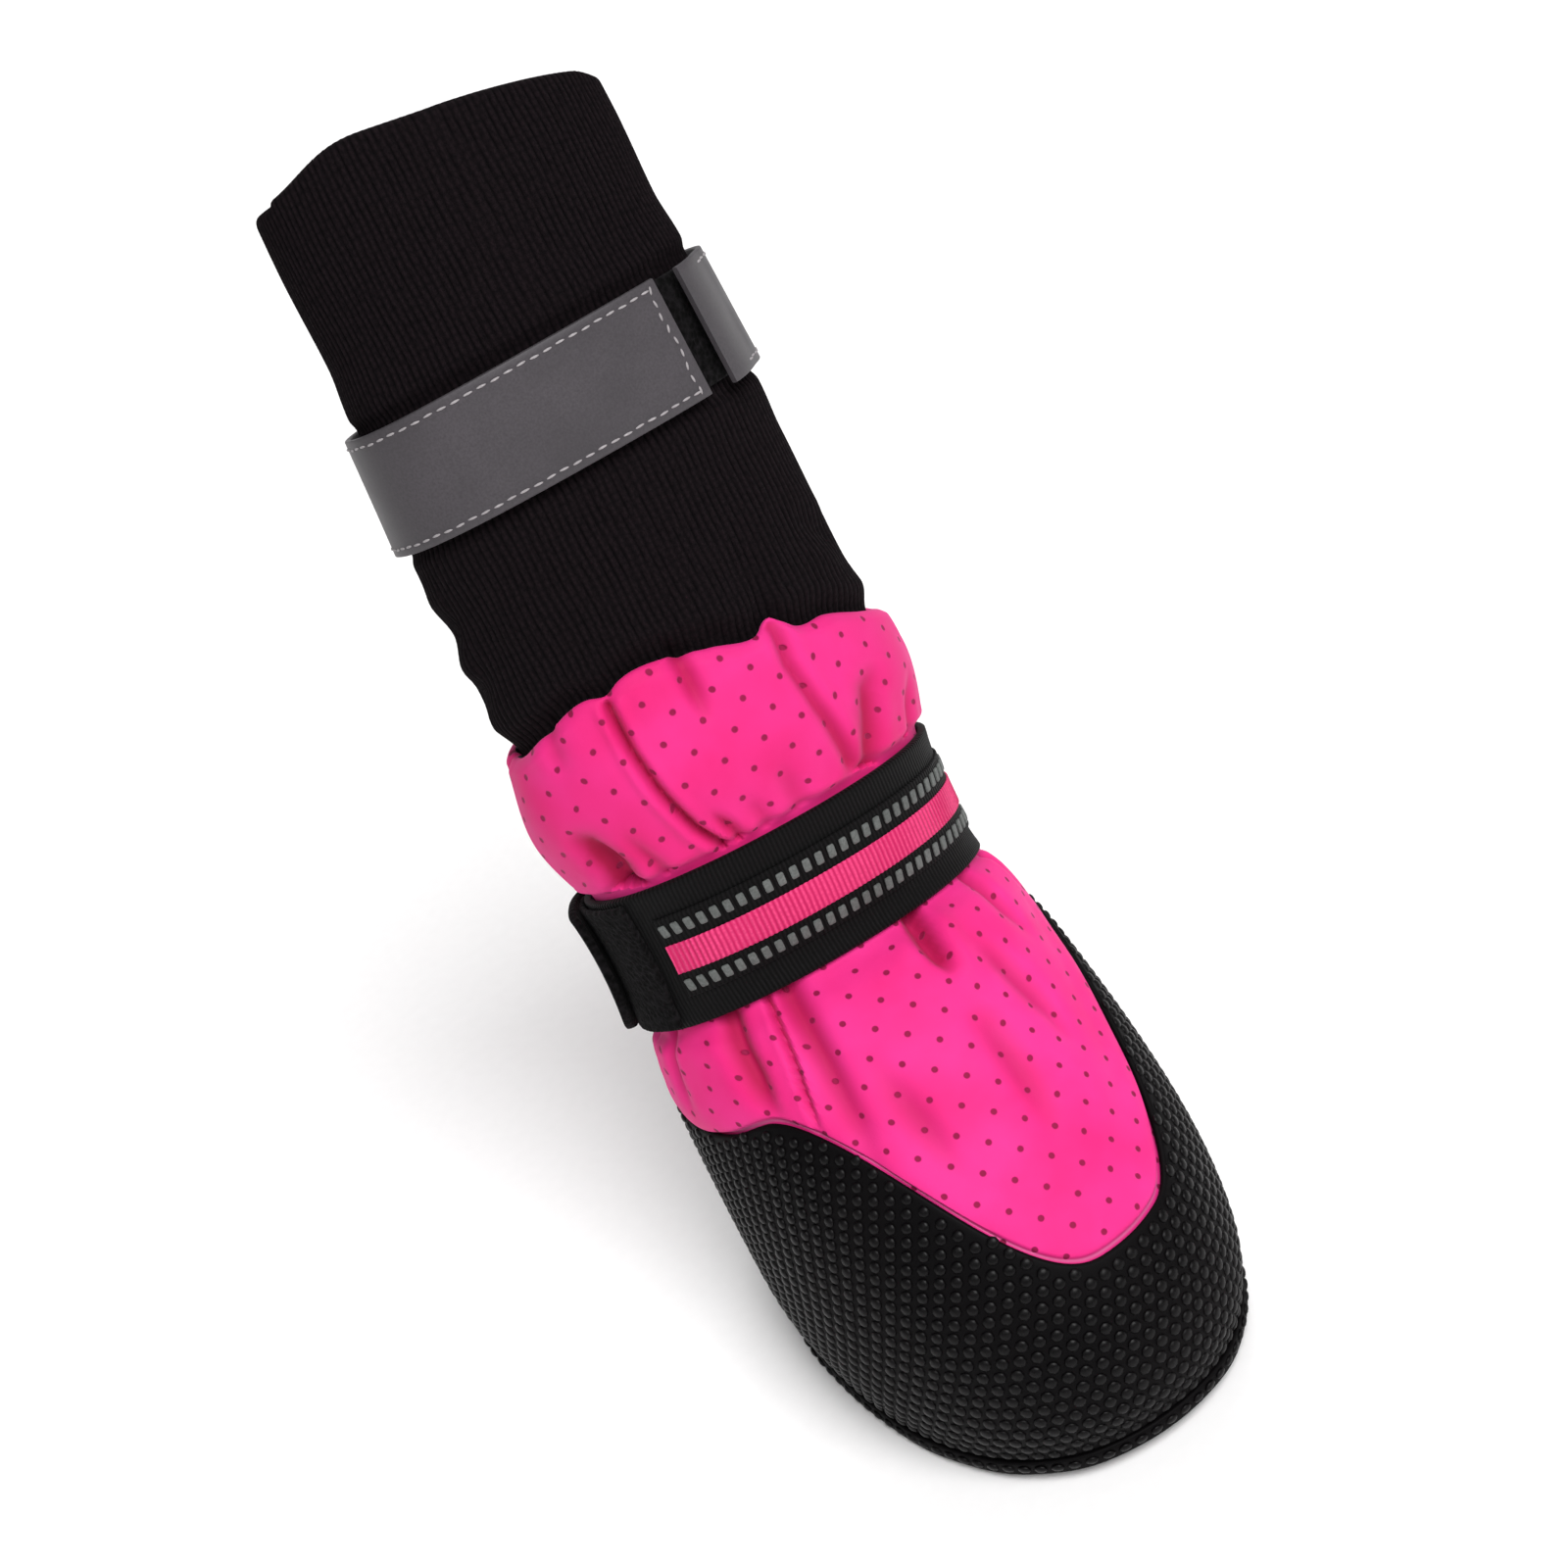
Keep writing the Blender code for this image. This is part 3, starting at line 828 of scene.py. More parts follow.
class Recipe:
    """Material in the making: adds the nodes of its pattern and joins them to its surface."""

    def __init__(self, name: str) -> None:
        """Starts a material with one plain surface."""
        self.made = bpy.data.materials.new(name)
        self.made.use_nodes = True
        self.tree = self.made.node_tree

    def spot(self) -> bpy.types.NodeSocket:
        """Object coordinates, in metres."""
        return add_node(self.tree, "ShaderNodeTexCoord").outputs["Object"]

    def cloth(self) -> bpy.types.NodeSocket:
        """The cloth map, in mm."""
        return add_node(self.tree, "ShaderNodeUVMap", uv_map=CLOTH_MAP).outputs["UV"]

    def mark(self) -> bpy.types.NodeSocket:
        """The value that a wall keeps for its finish."""
        return add_node(self.tree, "ShaderNodeAttribute", attribute_name=MARK).outputs["Fac"]

    def noise(self, place: bpy.types.NodeSocket, scale: float, detail: float = 2.0,
              **inputs: float) -> bpy.types.NodeSocket:
        """Cloudy pattern, scale times in each unit of the place."""
        return add_node(self.tree, "ShaderNodeTexNoise", {
            "Vector": place, "Scale": scale, "Detail": detail, **inputs}).outputs["Fac"]

    def cells(self, place: bpy.types.NodeSocket, scale: float, randomness: float = 1.0,
              **settings: str) -> bpy.types.NodeSocket:
        """Distance from the middle of the nearest cell."""
        return add_node(self.tree, "ShaderNodeTexVoronoi", {
            "Vector": place, "Scale": scale, "Randomness": randomness},
            **settings).outputs["Distance"]

    def ramp(self, value: bpy.types.NodeSocket, low: float, high: float, start: float = 0.0,
             end: float = 1.0, **settings: str) -> bpy.types.NodeSocket:
        """Value stretched so that low becomes start and high becomes end."""
        return add_node(self.tree, "ShaderNodeMapRange", {
            "Value": value, "From Min": low, "From Max": high, "To Min": start,
            "To Max": end}, **settings).outputs["Result"]

    def combine(self, operation: str, first: bpy.types.NodeSocket,
                second: bpy.types.NodeSocket | float, **settings: bool) -> bpy.types.NodeSocket:
        """Sum, difference or product of two values."""
        return add_node(self.tree, "ShaderNodeMath", {0: first, 1: second},
                        operation=operation, **settings).outputs[0]

    def blend(self, share: bpy.types.NodeSocket, *pair: bpy.types.NodeSocket | str,
              ) -> bpy.types.NodeSocket:
        """Colour part of the way from the first of two colours to the second."""
        first, second = (linear(one) if isinstance(one, str) else one for one in pair)
        return add_node(self.tree, "ShaderNodeMix", {0: share, 6: first, 7: second},
                        data_type="RGBA").outputs[2]

    def bump(self, height: bpy.types.NodeSocket, strength: float,
             rise: float) -> bpy.types.NodeSocket:
        """Surface direction of a fine relief that rises this many mm."""
        return add_node(self.tree, "ShaderNodeBump", {
            "Height": height, "Strength": strength, "Distance": rise * MM}).outputs["Normal"]

    def finish(self, colour: bpy.types.NodeSocket, **surface: object) -> bpy.types.Material:
        """Joins a colour and the surface's other inputs, with _ for a space, and ends it.

        Args:
            colour: Colour of the surface.
            **surface: Value or socket of each input, such as Roughness.

        Returns:
            The material.
        """
        shader = self.tree.nodes["Principled BSDF"]
        for name, value in {"Base_Color": colour, **surface}.items():
            socket = shader.inputs[name.replace("_", " ")]
            if isinstance(value, bpy.types.NodeSocket):
                self.tree.links.new(value, socket)
            else:
                socket.default_value = value
        return self.made


@dataclass(frozen=True)
class Softshell:
    """Perforated polyester softshell, laser punched and dyed; soft, matt and very saturated."""

    pink: str = "#E22D86"
    deep_pink: str = "#DA1E72"
    # Colour of a thin lighter line just above the rand's edge.
    edge_line_colour: str = "#FF8CC4"
    # The punched holes are real; their dark colour is painted shade of the dim inside seen
    # through them.
    hole_shade: str = "#86063C"
    # Painted shade: colour mixed in deep in the folds and a little over the puff.
    fold: str = "#9C0038"
    nap: str = "#FF9AD0"
    hole_pitch: float = 5.2
    hole_width: float = 1.05
    knit_pitch: float = 0.5

    def material(self) -> bpy.types.Material:
        """Material with its punched lattice, fine knit face, faint random tone and painted shade.

        Returns:
            The finished material.
        """
        recipe = Recipe("softshell polyester, punched")
        cloth, depth = recipe.cloth(), recipe.mark()
        turned = add_node(recipe.tree, "ShaderNodeMapping", {
            "Vector": cloth, "Rotation": (0.0, 0.0, math.radians(45.0))})
        lattice = recipe.cells(turned.outputs["Vector"], 1.0 / self.hole_pitch, 0.0,
                               voronoi_dimensions="2D")
        edge = self.hole_width / 2 / self.hole_pitch
        punched = recipe.ramp(lattice, edge * 0.75, edge * 1.25, 1.0, 0.0,
                              interpolation_type="SMOOTHSTEP")
        dye = recipe.ramp(recipe.noise(recipe.spot(), 55.0, 3.0), 0.35, 0.7)
        # Painted shade: the mark darkens the pink toward the fold colour deep in folds and over
        # the puff.
        fold_shaded = recipe.blend(depth, recipe.blend(dye, self.pink, self.deep_pink), self.fold)
        # Below 0, the mark draws a thin lighter line just above the rand's edge.
        edge_line = recipe.combine("MULTIPLY", depth, -1.0, use_clamp=True)
        edge_lined = recipe.blend(edge_line, fold_shaded, self.edge_line_colour)
        face = recipe.combine("MULTIPLY", recipe.noise(cloth, 1.0 / self.knit_pitch), 0.10)
        pits = recipe.combine("SUBTRACT", face, punched)
        # Painted shade: the holes are drawn dark, for the dim inside seen through them.
        return recipe.finish(
            recipe.blend(punched, edge_lined, self.hole_shade), Normal=recipe.bump(pits, 0.55, 0.4),
            Roughness=0.72, Specular_IOR_Level=0.22, Sheen_Weight=0.18, Sheen_Roughness=0.45,
            Sheen_Tint=linear(self.nap))


@dataclass(frozen=True)
class MouldedRubber:
    """Black moulded rubber with a fine mould grain; soft low highlights on its dots."""

    name: str = "rubber, moulded"
    black: str = "#030203"
    dusty: str = "#070506"
    grain: float = 0.6
    roughness: float = 0.6
    shine: float = 0.08

    def material(self) -> bpy.types.Material:
        """Material with mould grain and a little dust in random patches.

        Returns:
            The finished material.
        """
        recipe = Recipe(self.name)
        spot = recipe.spot()
        dust = recipe.noise(spot, 40.0, 5.0)
        colour = recipe.blend(recipe.ramp(dust, 0.4, 0.75), self.black, self.dusty)
        dull = recipe.ramp(dust, 0.3, 0.7, self.roughness - 0.05, self.roughness + 0.1)
        grain = recipe.noise(spot, 1.0 / (self.grain * MM))
        return recipe.finish(colour, Normal=recipe.bump(grain, 0.25, 0.08), Roughness=dull,
                             Specular_IOR_Level=self.shine)


@dataclass(frozen=True)
class RibKnit:
    """Rib-knit acrylic cuff; near black and fuzzy, so its ribs show by their shade alone, here
    painted into the colour.
    """

    # Painted shade in the rib valleys (valley) and painted light on the stitch tops (lit).
    valley: str = "#020102"
    black: str = "#080507"
    lit: str = "#171013"
    nap: str = "#5A5257"
    stitch_height: float = 1.1
    rib_pitch: float = 1.45

    def material(self) -> bpy.types.Material:
        """Material with small knit stitches up the ribs and loose fibre, painted light on the
        stitch tops and painted shade in the rib valleys.

        Returns:
            The finished material.
        """
        recipe = Recipe("acrylic, rib knit")
        cloth = recipe.cloth()
        rows = add_node(recipe.tree, "ShaderNodeMapping", {
            "Vector": cloth, "Scale": (2.0 / self.rib_pitch, 1.0 / self.stitch_height, 1.0)})
        stitch = recipe.cells(rows.outputs["Vector"], 1.0, 0.6, voronoi_dimensions="2D")
        hills = recipe.combine("SUBTRACT", recipe.noise(cloth, 2.4, 4.0, Roughness=0.65), stitch)
        # Follows the bump: a random fibre tone, and painted light on the stitch tops.
        yarn = recipe.blend(recipe.ramp(hills, -0.3, 0.5), self.black, self.lit)
        # Painted shade: where the crest mark is low, in the rib valleys, the colour is drawn
        # darker.
        return recipe.finish(
            recipe.blend(recipe.mark(), self.valley, yarn), Normal=recipe.bump(hills, 0.5, 0.2),
            Roughness=0.95, Specular_IOR_Level=0.08, Sheen_Weight=0.03, Sheen_Roughness=0.6,
            Sheen_Tint=linear(self.nap))


@dataclass(frozen=True)
class WovenTape:
    """Woven polyester tape with fine ribs across it, dyed; a low satin light on each rib.

    The real ribs are about 0.6 mm apart; they are drawn a little coarser so that they show.
    """

    name: str = "polyester webbing, woven black"
    colour: str = "#020202"
    lit: str = "#181718"
    rib_pitch: float = 0.75
    roughness: float = 0.7
    height: float = 0.2

    def material(self) -> bpy.types.Material:
        """Material with the ribs of its weft, on the tape's own map.

        Returns:
            The finished material.
        """
        recipe = Recipe(self.name)
        cloth = recipe.cloth()
        ribs = add_node(recipe.tree, "ShaderNodeTexWave", {
            "Vector": cloth, "Scale": TURN / (20.0 * self.rib_pitch), "Distortion": 0.4,
            "Detail": 1.0, "Detail Scale": 1.5},
            wave_type="BANDS", bands_direction="X", wave_profile="SIN").outputs["Fac"]
        shade = recipe.combine("MULTIPLY", ribs, recipe.noise(cloth, 2.0, 3.0))
        return recipe.finish(
            recipe.blend(shade, self.colour, self.lit),
            Normal=recipe.bump(ribs, 0.6, self.height), Roughness=self.roughness,
            Specular_IOR_Level=0.08, Sheen_Weight=0.02)


@dataclass(frozen=True)
class Fuzz:
    """Napped nylon, the soft half of a touch fastener or a fleece; it swallows the light."""

    name: str = "nylon loop, napped"
    colour: str = "#020202"
    lit: str = "#121012"
    pile: float = 0.5

    def material(self) -> bpy.types.Material:
        """Material with a short tangled pile.

        Returns:
            The finished material.
        """
        recipe = Recipe(self.name)
        spot = recipe.spot()
        tangle = recipe.noise(spot, 700.0, 4.0, Roughness=0.7, Distortion=1.2)
        pile = recipe.combine("MULTIPLY", tangle, recipe.cells(spot, 1000.0))
        colour = recipe.blend(recipe.ramp(pile, 0.16, 0.42), self.colour, self.lit)
        return recipe.finish(colour, Normal=recipe.bump(pile, 0.9, self.pile), Roughness=1.0,
                             Specular_IOR_Level=0.1, Sheen_Weight=0.02)


@dataclass(frozen=True)
class BeadedGrey:
    """Glass-bead reflective film on cloth, coated; an even grey with a faint pearly grain."""

    name: str = "reflective film, bead coated"
    grey: str = "#393639"
    light: str = "#444044"
    roughness: float = 0.48

    def material(self) -> bpy.types.Material:
        """Material with bead grain and soft handling marks.

        Returns:
            The finished material.
        """
        recipe = Recipe(self.name)
        spot = recipe.spot()
        marks, beads = recipe.noise(spot, 70.0, 4.0), recipe.noise(spot, 2500.0)
        shade = recipe.ramp(recipe.combine("MULTIPLY", marks, beads), 0.12, 0.4)
        dull = recipe.ramp(marks, 0.3, 0.7, self.roughness - 0.06, self.roughness + 0.1)
        return recipe.finish(
            recipe.blend(shade, self.grey, self.light), Normal=recipe.bump(beads, 0.2, 0.05),
            Roughness=dull, Specular_IOR_Level=0.3)


@dataclass(frozen=True)
class Thread:
    """Twisted polyester sewing thread; small bright dashes with a soft shine."""

    colour: str = "#A7A2A4"
    shade: str = "#7C787A"

    def material(self) -> bpy.types.Material:
        """Material with the twist of its plies.

        Returns:
            The finished material.
        """
        recipe = Recipe("polyester thread, twisted")
        plies = recipe.noise(recipe.spot(), 1800.0)
        return recipe.finish(recipe.blend(plies, self.colour, self.shade),
                             Normal=recipe.bump(plies, 0.3, 0.1), Roughness=0.6)


@dataclass(frozen=True)
class WhitePaper:
    """Matt white paper, rolled; a bare floor that takes soft shadows."""

    white: str = "#F7F6F6"
    fibre: str = "#F3F2F2"

    def material(self) -> bpy.types.Material:
        """Material with a trace of its fibres.

        Returns:
            The finished material.
        """
        recipe = Recipe("paper, matt white")
        fibres = recipe.noise(recipe.spot(), 400.0)
        return recipe.finish(recipe.blend(fibres, self.white, self.fibre), Roughness=0.9,
                             Specular_IOR_Level=0.1)


@dataclass
class Finishes:
    """Every finish of the boot, made once."""

    softshell: bpy.types.Material = field(default_factory=Softshell().material)
    rubber: bpy.types.Material = field(default_factory=MouldedRubber().material)
    dots: bpy.types.Material = field(default_factory=MouldedRubber(
        name="rubber, moulded and rubbed smooth", roughness=0.40, shine=0.15).material)
    knit: bpy.types.Material = field(default_factory=RibKnit().material)
    webbing: bpy.types.Material = field(default_factory=WovenTape().material)
    stripe: bpy.types.Material = field(default_factory=WovenTape(
        name="polyester ribbon, woven pink", colour="#B81E56", lit="#F4568E",
        rib_pitch=0.9, roughness=0.5, height=0.1).material)
    loop: bpy.types.Material = field(default_factory=Fuzz().material)
    fleece: bpy.types.Material = field(default_factory=Fuzz(
        name="polyester fleece, brushed", colour="#3A393C", lit="#5C5B60").material)
    film: bpy.types.Material = field(default_factory=BeadedGrey().material)
    bead: bpy.types.Material = field(default_factory=BeadedGrey(
        name="reflective yarn, woven in", grey="#464947", light="#626664",
        roughness=0.5).material)
    thread: bpy.types.Material = field(default_factory=Thread().material)


# Sub-assemblies


@dataclass
class StrapLines:
    """Where the two straps lie on the spine."""

    form: BootForm
    ankle_width: float = 0.0270
    ankle_drop: float = 0.0015
    cuff_rise: float = 0.0930
    cuff_width: float = 0.0210

    @property
    def ankle(self) -> float:
        """Path of the ankle strap's middle."""
        return self.form.ankle_path - self.ankle_drop

    @property
    def cuff(self) -> float:
        """Path of the reflective strap's middle."""
        return self.form.ankle_path + self.cuff_rise

    @property
    def ankle_edges(self) -> tuple[float, float]:
        """Paths of the ankle strap's lower and upper edge."""
        return self.ankle - self.ankle_width / 2, self.ankle + self.ankle_width / 2

    @property
    def cuff_edges(self) -> tuple[float, float]:
        """Paths of the reflective strap's lower and upper edge."""
        return self.cuff - self.cuff_width / 2, self.cuff + self.cuff_width / 2


@dataclass
class SoftshellUpper:
    """Softshell foot and ankle, gathered by the ankle strap."""

    form: BootForm
    straps: StrapLines
    wall: float = 0.0016
    columns: int = 400
    lip: float = 0.95
    puff: float = 1.9
    roll: float = 0.9
    side_roll: float = 1.1
    curl: float = 1.0
    edge_table: tuple = (
        (14, 119.5), (34, 121.5), (52, 124.5), (66, 126.0), (71, 128.8), (78, 127.2),
        (90, 129.0), (100, 130.6), (118, 130.8), (123, 129.6), (130, 130.2), (150, 127.8),
        (170, 125.2), (200, 126.4), (240, 128.6), (270, 129.4), (305, 127.4), (340, 121.6),
    )
    creases: tuple = (
        # Puffs above the strap, from the photograph's right round to its left.
        Crease(((97.0, 63), (109.5, 55), (114.5, 43)), 1.9, 1.3, 0.8, 0.3, (0.0, 0.5)),
        Crease(((97.0, 69), (103.0, 70), (112.0, 73), (120.5, 74), (129.0, 72)), 1.0, 1.0, 0.7,
               0.5, (0.1, 0.05)),
        Crease(((116.0, 100), (120.0, 100), (129.0, 99), (131.0, 99)), 1.3, 1.3, 0.5, 0.4,
               (0.6, 0.05)),
        Crease(((97.0, 112), (103.0, 117), (110.5, 120), (119.5, 123), (129.5, 124)), 0.75, 1.7,
               0.6, 0.7, (0.0, 0.05)),
        Crease(((97.0, 107), (101.0, 109), (106.0, 112)), 0.9, 1.3, 0.3, 0.4, (0.0, 0.6)),
        Crease(((97.0, 151), (102.0, 149), (107.0, 152), (112.0, 160)), 2.6, 3.0, 1.0, 0.4,
               (0.0, 0.65)),
        Crease(((97.0, 133), (104.0, 136), (110.0, 138)), 1.3, 0.9, 0.3, 0.3, (0.0, 0.7)),
        Crease(((97.0, 88), (104.0, 89), (110.0, 88)), 1.6, 0.7, 0.3, 0.3, (0.0, 0.7)),
        Crease(((97.0, 98), (101.0, 99), (106.0, 101)), 1.2, 0.7, 0.3, 0.3, (0.0, 0.7)),
        Crease(((118.0, 148), (122.0, 147), (128.5, 148)), 1.9, 0.6, 0.3, 0.2, (0.6, 0.05)),
        # The far side and the rear.
        Crease(((97.0, 186), (108.0, 189), (120.0, 190), (127.0, 189)), 1.5, 1.1, 0.6, 0.3,
               (0.0, 0.1)),
        Crease(((97.0, 214), (106.0, 217), (114.0, 222)), 1.6, 1.0, 0.5, 0.3, (0.0, 0.5)),
        Crease(((97.0, 244), (110.0, 243), (128.0, 246)), 1.3, 1.1, 0.6, 0.3, (0.0, 0.1)),
        Crease(((97.0, 270), (112.0, 270), (129.5, 270)), 0.7, 0.8, 0.2, 0.3, (0.0, 0.02)),
        Crease(((97.0, 297), (106.0, 295), (120.0, 292), (128.0, 293)), 1.4, 1.0, 0.6, 0.3,
               (0.0, 0.1)),
        Crease(((97.0, 322), (107.0, 325), (116.0, 330)), 1.6, 1.0, 0.5, 0.3, (0.0, 0.5)),
        Crease(((97.0, 349), (108.0, 352), (121.0, 350)), 1.5, 1.0, 0.5, 0.3, (0.0, 0.1)),
        Crease(((97.0, 14), (106.0, 12), (119.0, 16)), 1.4, 1.1, 0.5, 0.3, (0.0, 0.1)),
        Crease(((97.0, 36), (104.0, 34), (110.0, 29)), 1.5, 0.8, 0.4, 0.2, (0.0, 0.6)),
        # Instep, from the photograph's left to its right.
        Crease(((56.0, 140), (60.5, 141), (65.5, 140), (72.0, 137)), 1.9, 2.3, 0.7, 0.3,
               (0.5, 0.0)),
        Crease(((54.0, 133), (61.0, 129), (66.5, 124.5), (72.0, 121)), 0.55, 1.3, 0.2, 0.4,
               (0.3, 0.0)),
        Crease(((44.0, 122), (51.0, 123), (57.5, 121), (64.0, 118), (72.0, 114)), 1.8, 1.4,
               0.8, 0.3, (0.75, 0.0)),
        Crease(((43.0, 104), (49.5, 106), (57.5, 107), (64.0, 108.5)), 2.4, 0.8, 0.6, 0.2,
               (0.5, 0.5)),
        Crease(((63.0, 77), (66.5, 74), (72.0, 68)), 1.5, 3.0, 0.9, 1.2, (0.3, 0.0)),
        Crease(((41.0, 84), (49.0, 78), (57.0, 77), (64.0, 77)), 2.3, 0.8, 0.6, 0.2,
               (0.5, 0.4)),
        Crease(((46.0, 57), (54.0, 56), (61.0, 60), (66.0, 64)), 1.9, 1.0, 0.5, 0.3,
               (0.5, 0.3)),
        Crease(((57.0, 38), (64.0, 42), (71.0, 41)), 1.5, 1.0, 0.5, 0.3, (0.6, 0.0)),
        Crease(((56.0, 14), (63.0, 16), (71.0, 13)), 1.4, 1.0, 0.4, 0.3, (0.6, 0.0)),
        Crease(((56.0, 352), (64.0, 350), (71.0, 353)), 1.5, 0.9, 0.4, 0.3, (0.6, 0.0)),
        Crease(((57.0, 322), (64.0, 320), (71.0, 323)), 1.4, 0.9, 0.4, 0.3, (0.6, 0.0)),
        Crease(((58.0, 292), (64.0, 294), (71.0, 291)), 1.3, 0.8, 0.3, 0.3, (0.6, 0.0)),
        Crease(((55.0, 270), (62.0, 270), (71.0, 270)), 0.7, 0.7, 0.1, 0.3, (0.2, 0.0)),
        Crease(((58.0, 247), (64.0, 245), (71.0, 248)), 1.3, 0.8, 0.3, 0.3, (0.6, 0.0)),
        Crease(((57.0, 216), (64.0, 218), (71.0, 215)), 1.4, 0.9, 0.4, 0.3, (0.6, 0.0)),
        Crease(((56.0, 190), (64.0, 188), (71.0, 190)), 1.5, 0.9, 0.4, 0.3, (0.6, 0.0)),
        Crease(((56.0, 168), (63.0, 171), (71.0, 170)), 1.2, 0.8, 0.4, 0.3, (0.6, 0.0)),
    )

    def edge(self, angle: np.ndarray) -> np.ndarray:
        """Path of the scalloped top edge, drawn down a little where a fold meets it.

        Args:
            angle: Angles round it.

        Returns:
            Its path at each angle.
        """
        edge = round_curve(self.edge_table, np.degrees(angle))
        fold = folds_at(self.creases, self.form, edge * MM, angle)
        return (edge + 0.5 * np.minimum(0.0, fold)) * MM

    def relief(self, path: np.ndarray, angle: np.ndarray) -> np.ndarray:
        """Height of the softshell's face over the form.

        Args:
            path: Paths on the spine.
            angle: Angles round it.

        Returns:
            Height at each place, in metres.
        """
        here, degrees = path / MM, np.degrees(angle)
        low, high = (edge / MM for edge in self.straps.ankle_edges)
        over_strap, below_strap = here - high, low - here
        over_rand = here - self.form.rand_edge(angle) / MM
        fold = folds_at(self.creases, self.form, path, angle)
        ease = 0.16 * np.sin(np.radians(degrees * 5.0) + here * 0.21)
        ease = ease + 0.10 * np.sin(np.radians(degrees * 9.0 + 40.0) - here * 0.33)
        puff = self.puff * smooth_step(over_strap / 3.6)
        puff = puff * (1.0 - smooth_step((over_strap - 5) / 24))
        side = np.exp(-(((np.mod(degrees, 360.0) - 172.0) / 26.0) ** 2))
        roll = (self.roll + self.side_roll * side) * smooth_step(below_strap / 3.4)
        roll = roll * (1.0 - smooth_step((below_strap - 4 - 5 * side) / 11))
        lip = self.lip * smooth_step(over_rand / 1.1)
        lip = lip * (1.0 - 0.75 * smooth_step((over_rand - 1.7) / 7.0))
        height = fold + ease + puff + roll + lip
        clear = smooth_step(np.maximum(over_strap, below_strap) / 2.6)
        pressed = 1.0 - smooth_step((-np.maximum(over_strap, below_strap) - 1.2) / 2.6)
        height = np.where(height > 0.0, height * clear, height * pressed)
        height = height * smooth_step(over_rand / 0.9)
        edge = round_curve(self.edge_table, degrees)
        return (height - self.curl * (1.0 - smooth_step((edge - here) / 2.4))) * MM

    def shade(self, path: np.ndarray, angle: np.ndarray) -> np.ndarray:
        """How deep in a fold each place lies, as a share of painted shade; below 0 on a thin
        lighter line at the rand's edge.

        Args:
            path: Paths on the spine.
            angle: Angles round it.

        Returns:
            The mark at each place.
        """
        here = path / MM
        fold = folds_at(self.creases, self.form, path, angle)
        # Painted shade: the whole puff above the strap is drawn a little darker.
        gathered = 0.15 * smooth_step((here - self.straps.ankle_edges[1] / MM) / 4.0)
        # A thin lighter line just above the rand's edge.
        cut = np.abs(here - self.form.rand_edge(angle) / MM - 0.35)
        return np.where(cut < 0.2, -0.6, gathered + np.clip((-0.3 - fold) / 2.4, 0.0, 0.8))

    def build(self, finishes: Finishes) -> bpy.types.Object:
        """Makes the upper as one hollow wall, open underneath and at its top.

        Args:
            finishes: The boot's finishes.

        Returns:
            The finished piece.
        """
        form = self.form
        low, high = self.straps.ankle_edges
        rows = (
            (level(0.0), 6),
            (lambda angle: form.rand_edge(angle) - 0.0008, 16),
            (lambda angle: form.rand_edge(angle) + 0.0050, 40),
            (level(low), 7),
            (level(low + 0.0045), 5),
            (level(high - 0.0045), 7),
            (level(high), 60),
            (self.edge, 0),
        )
        wall = Wall(form, rows, self.columns, self.wall, self.relief, bottom=Rim.SQUARE,
                    datum=low, gather=0.35, mark=self.shade)
        return settle(wall.build("softshell_upper", finishes.softshell, finishes.fleece),
                      "softshell_pink", "upper")


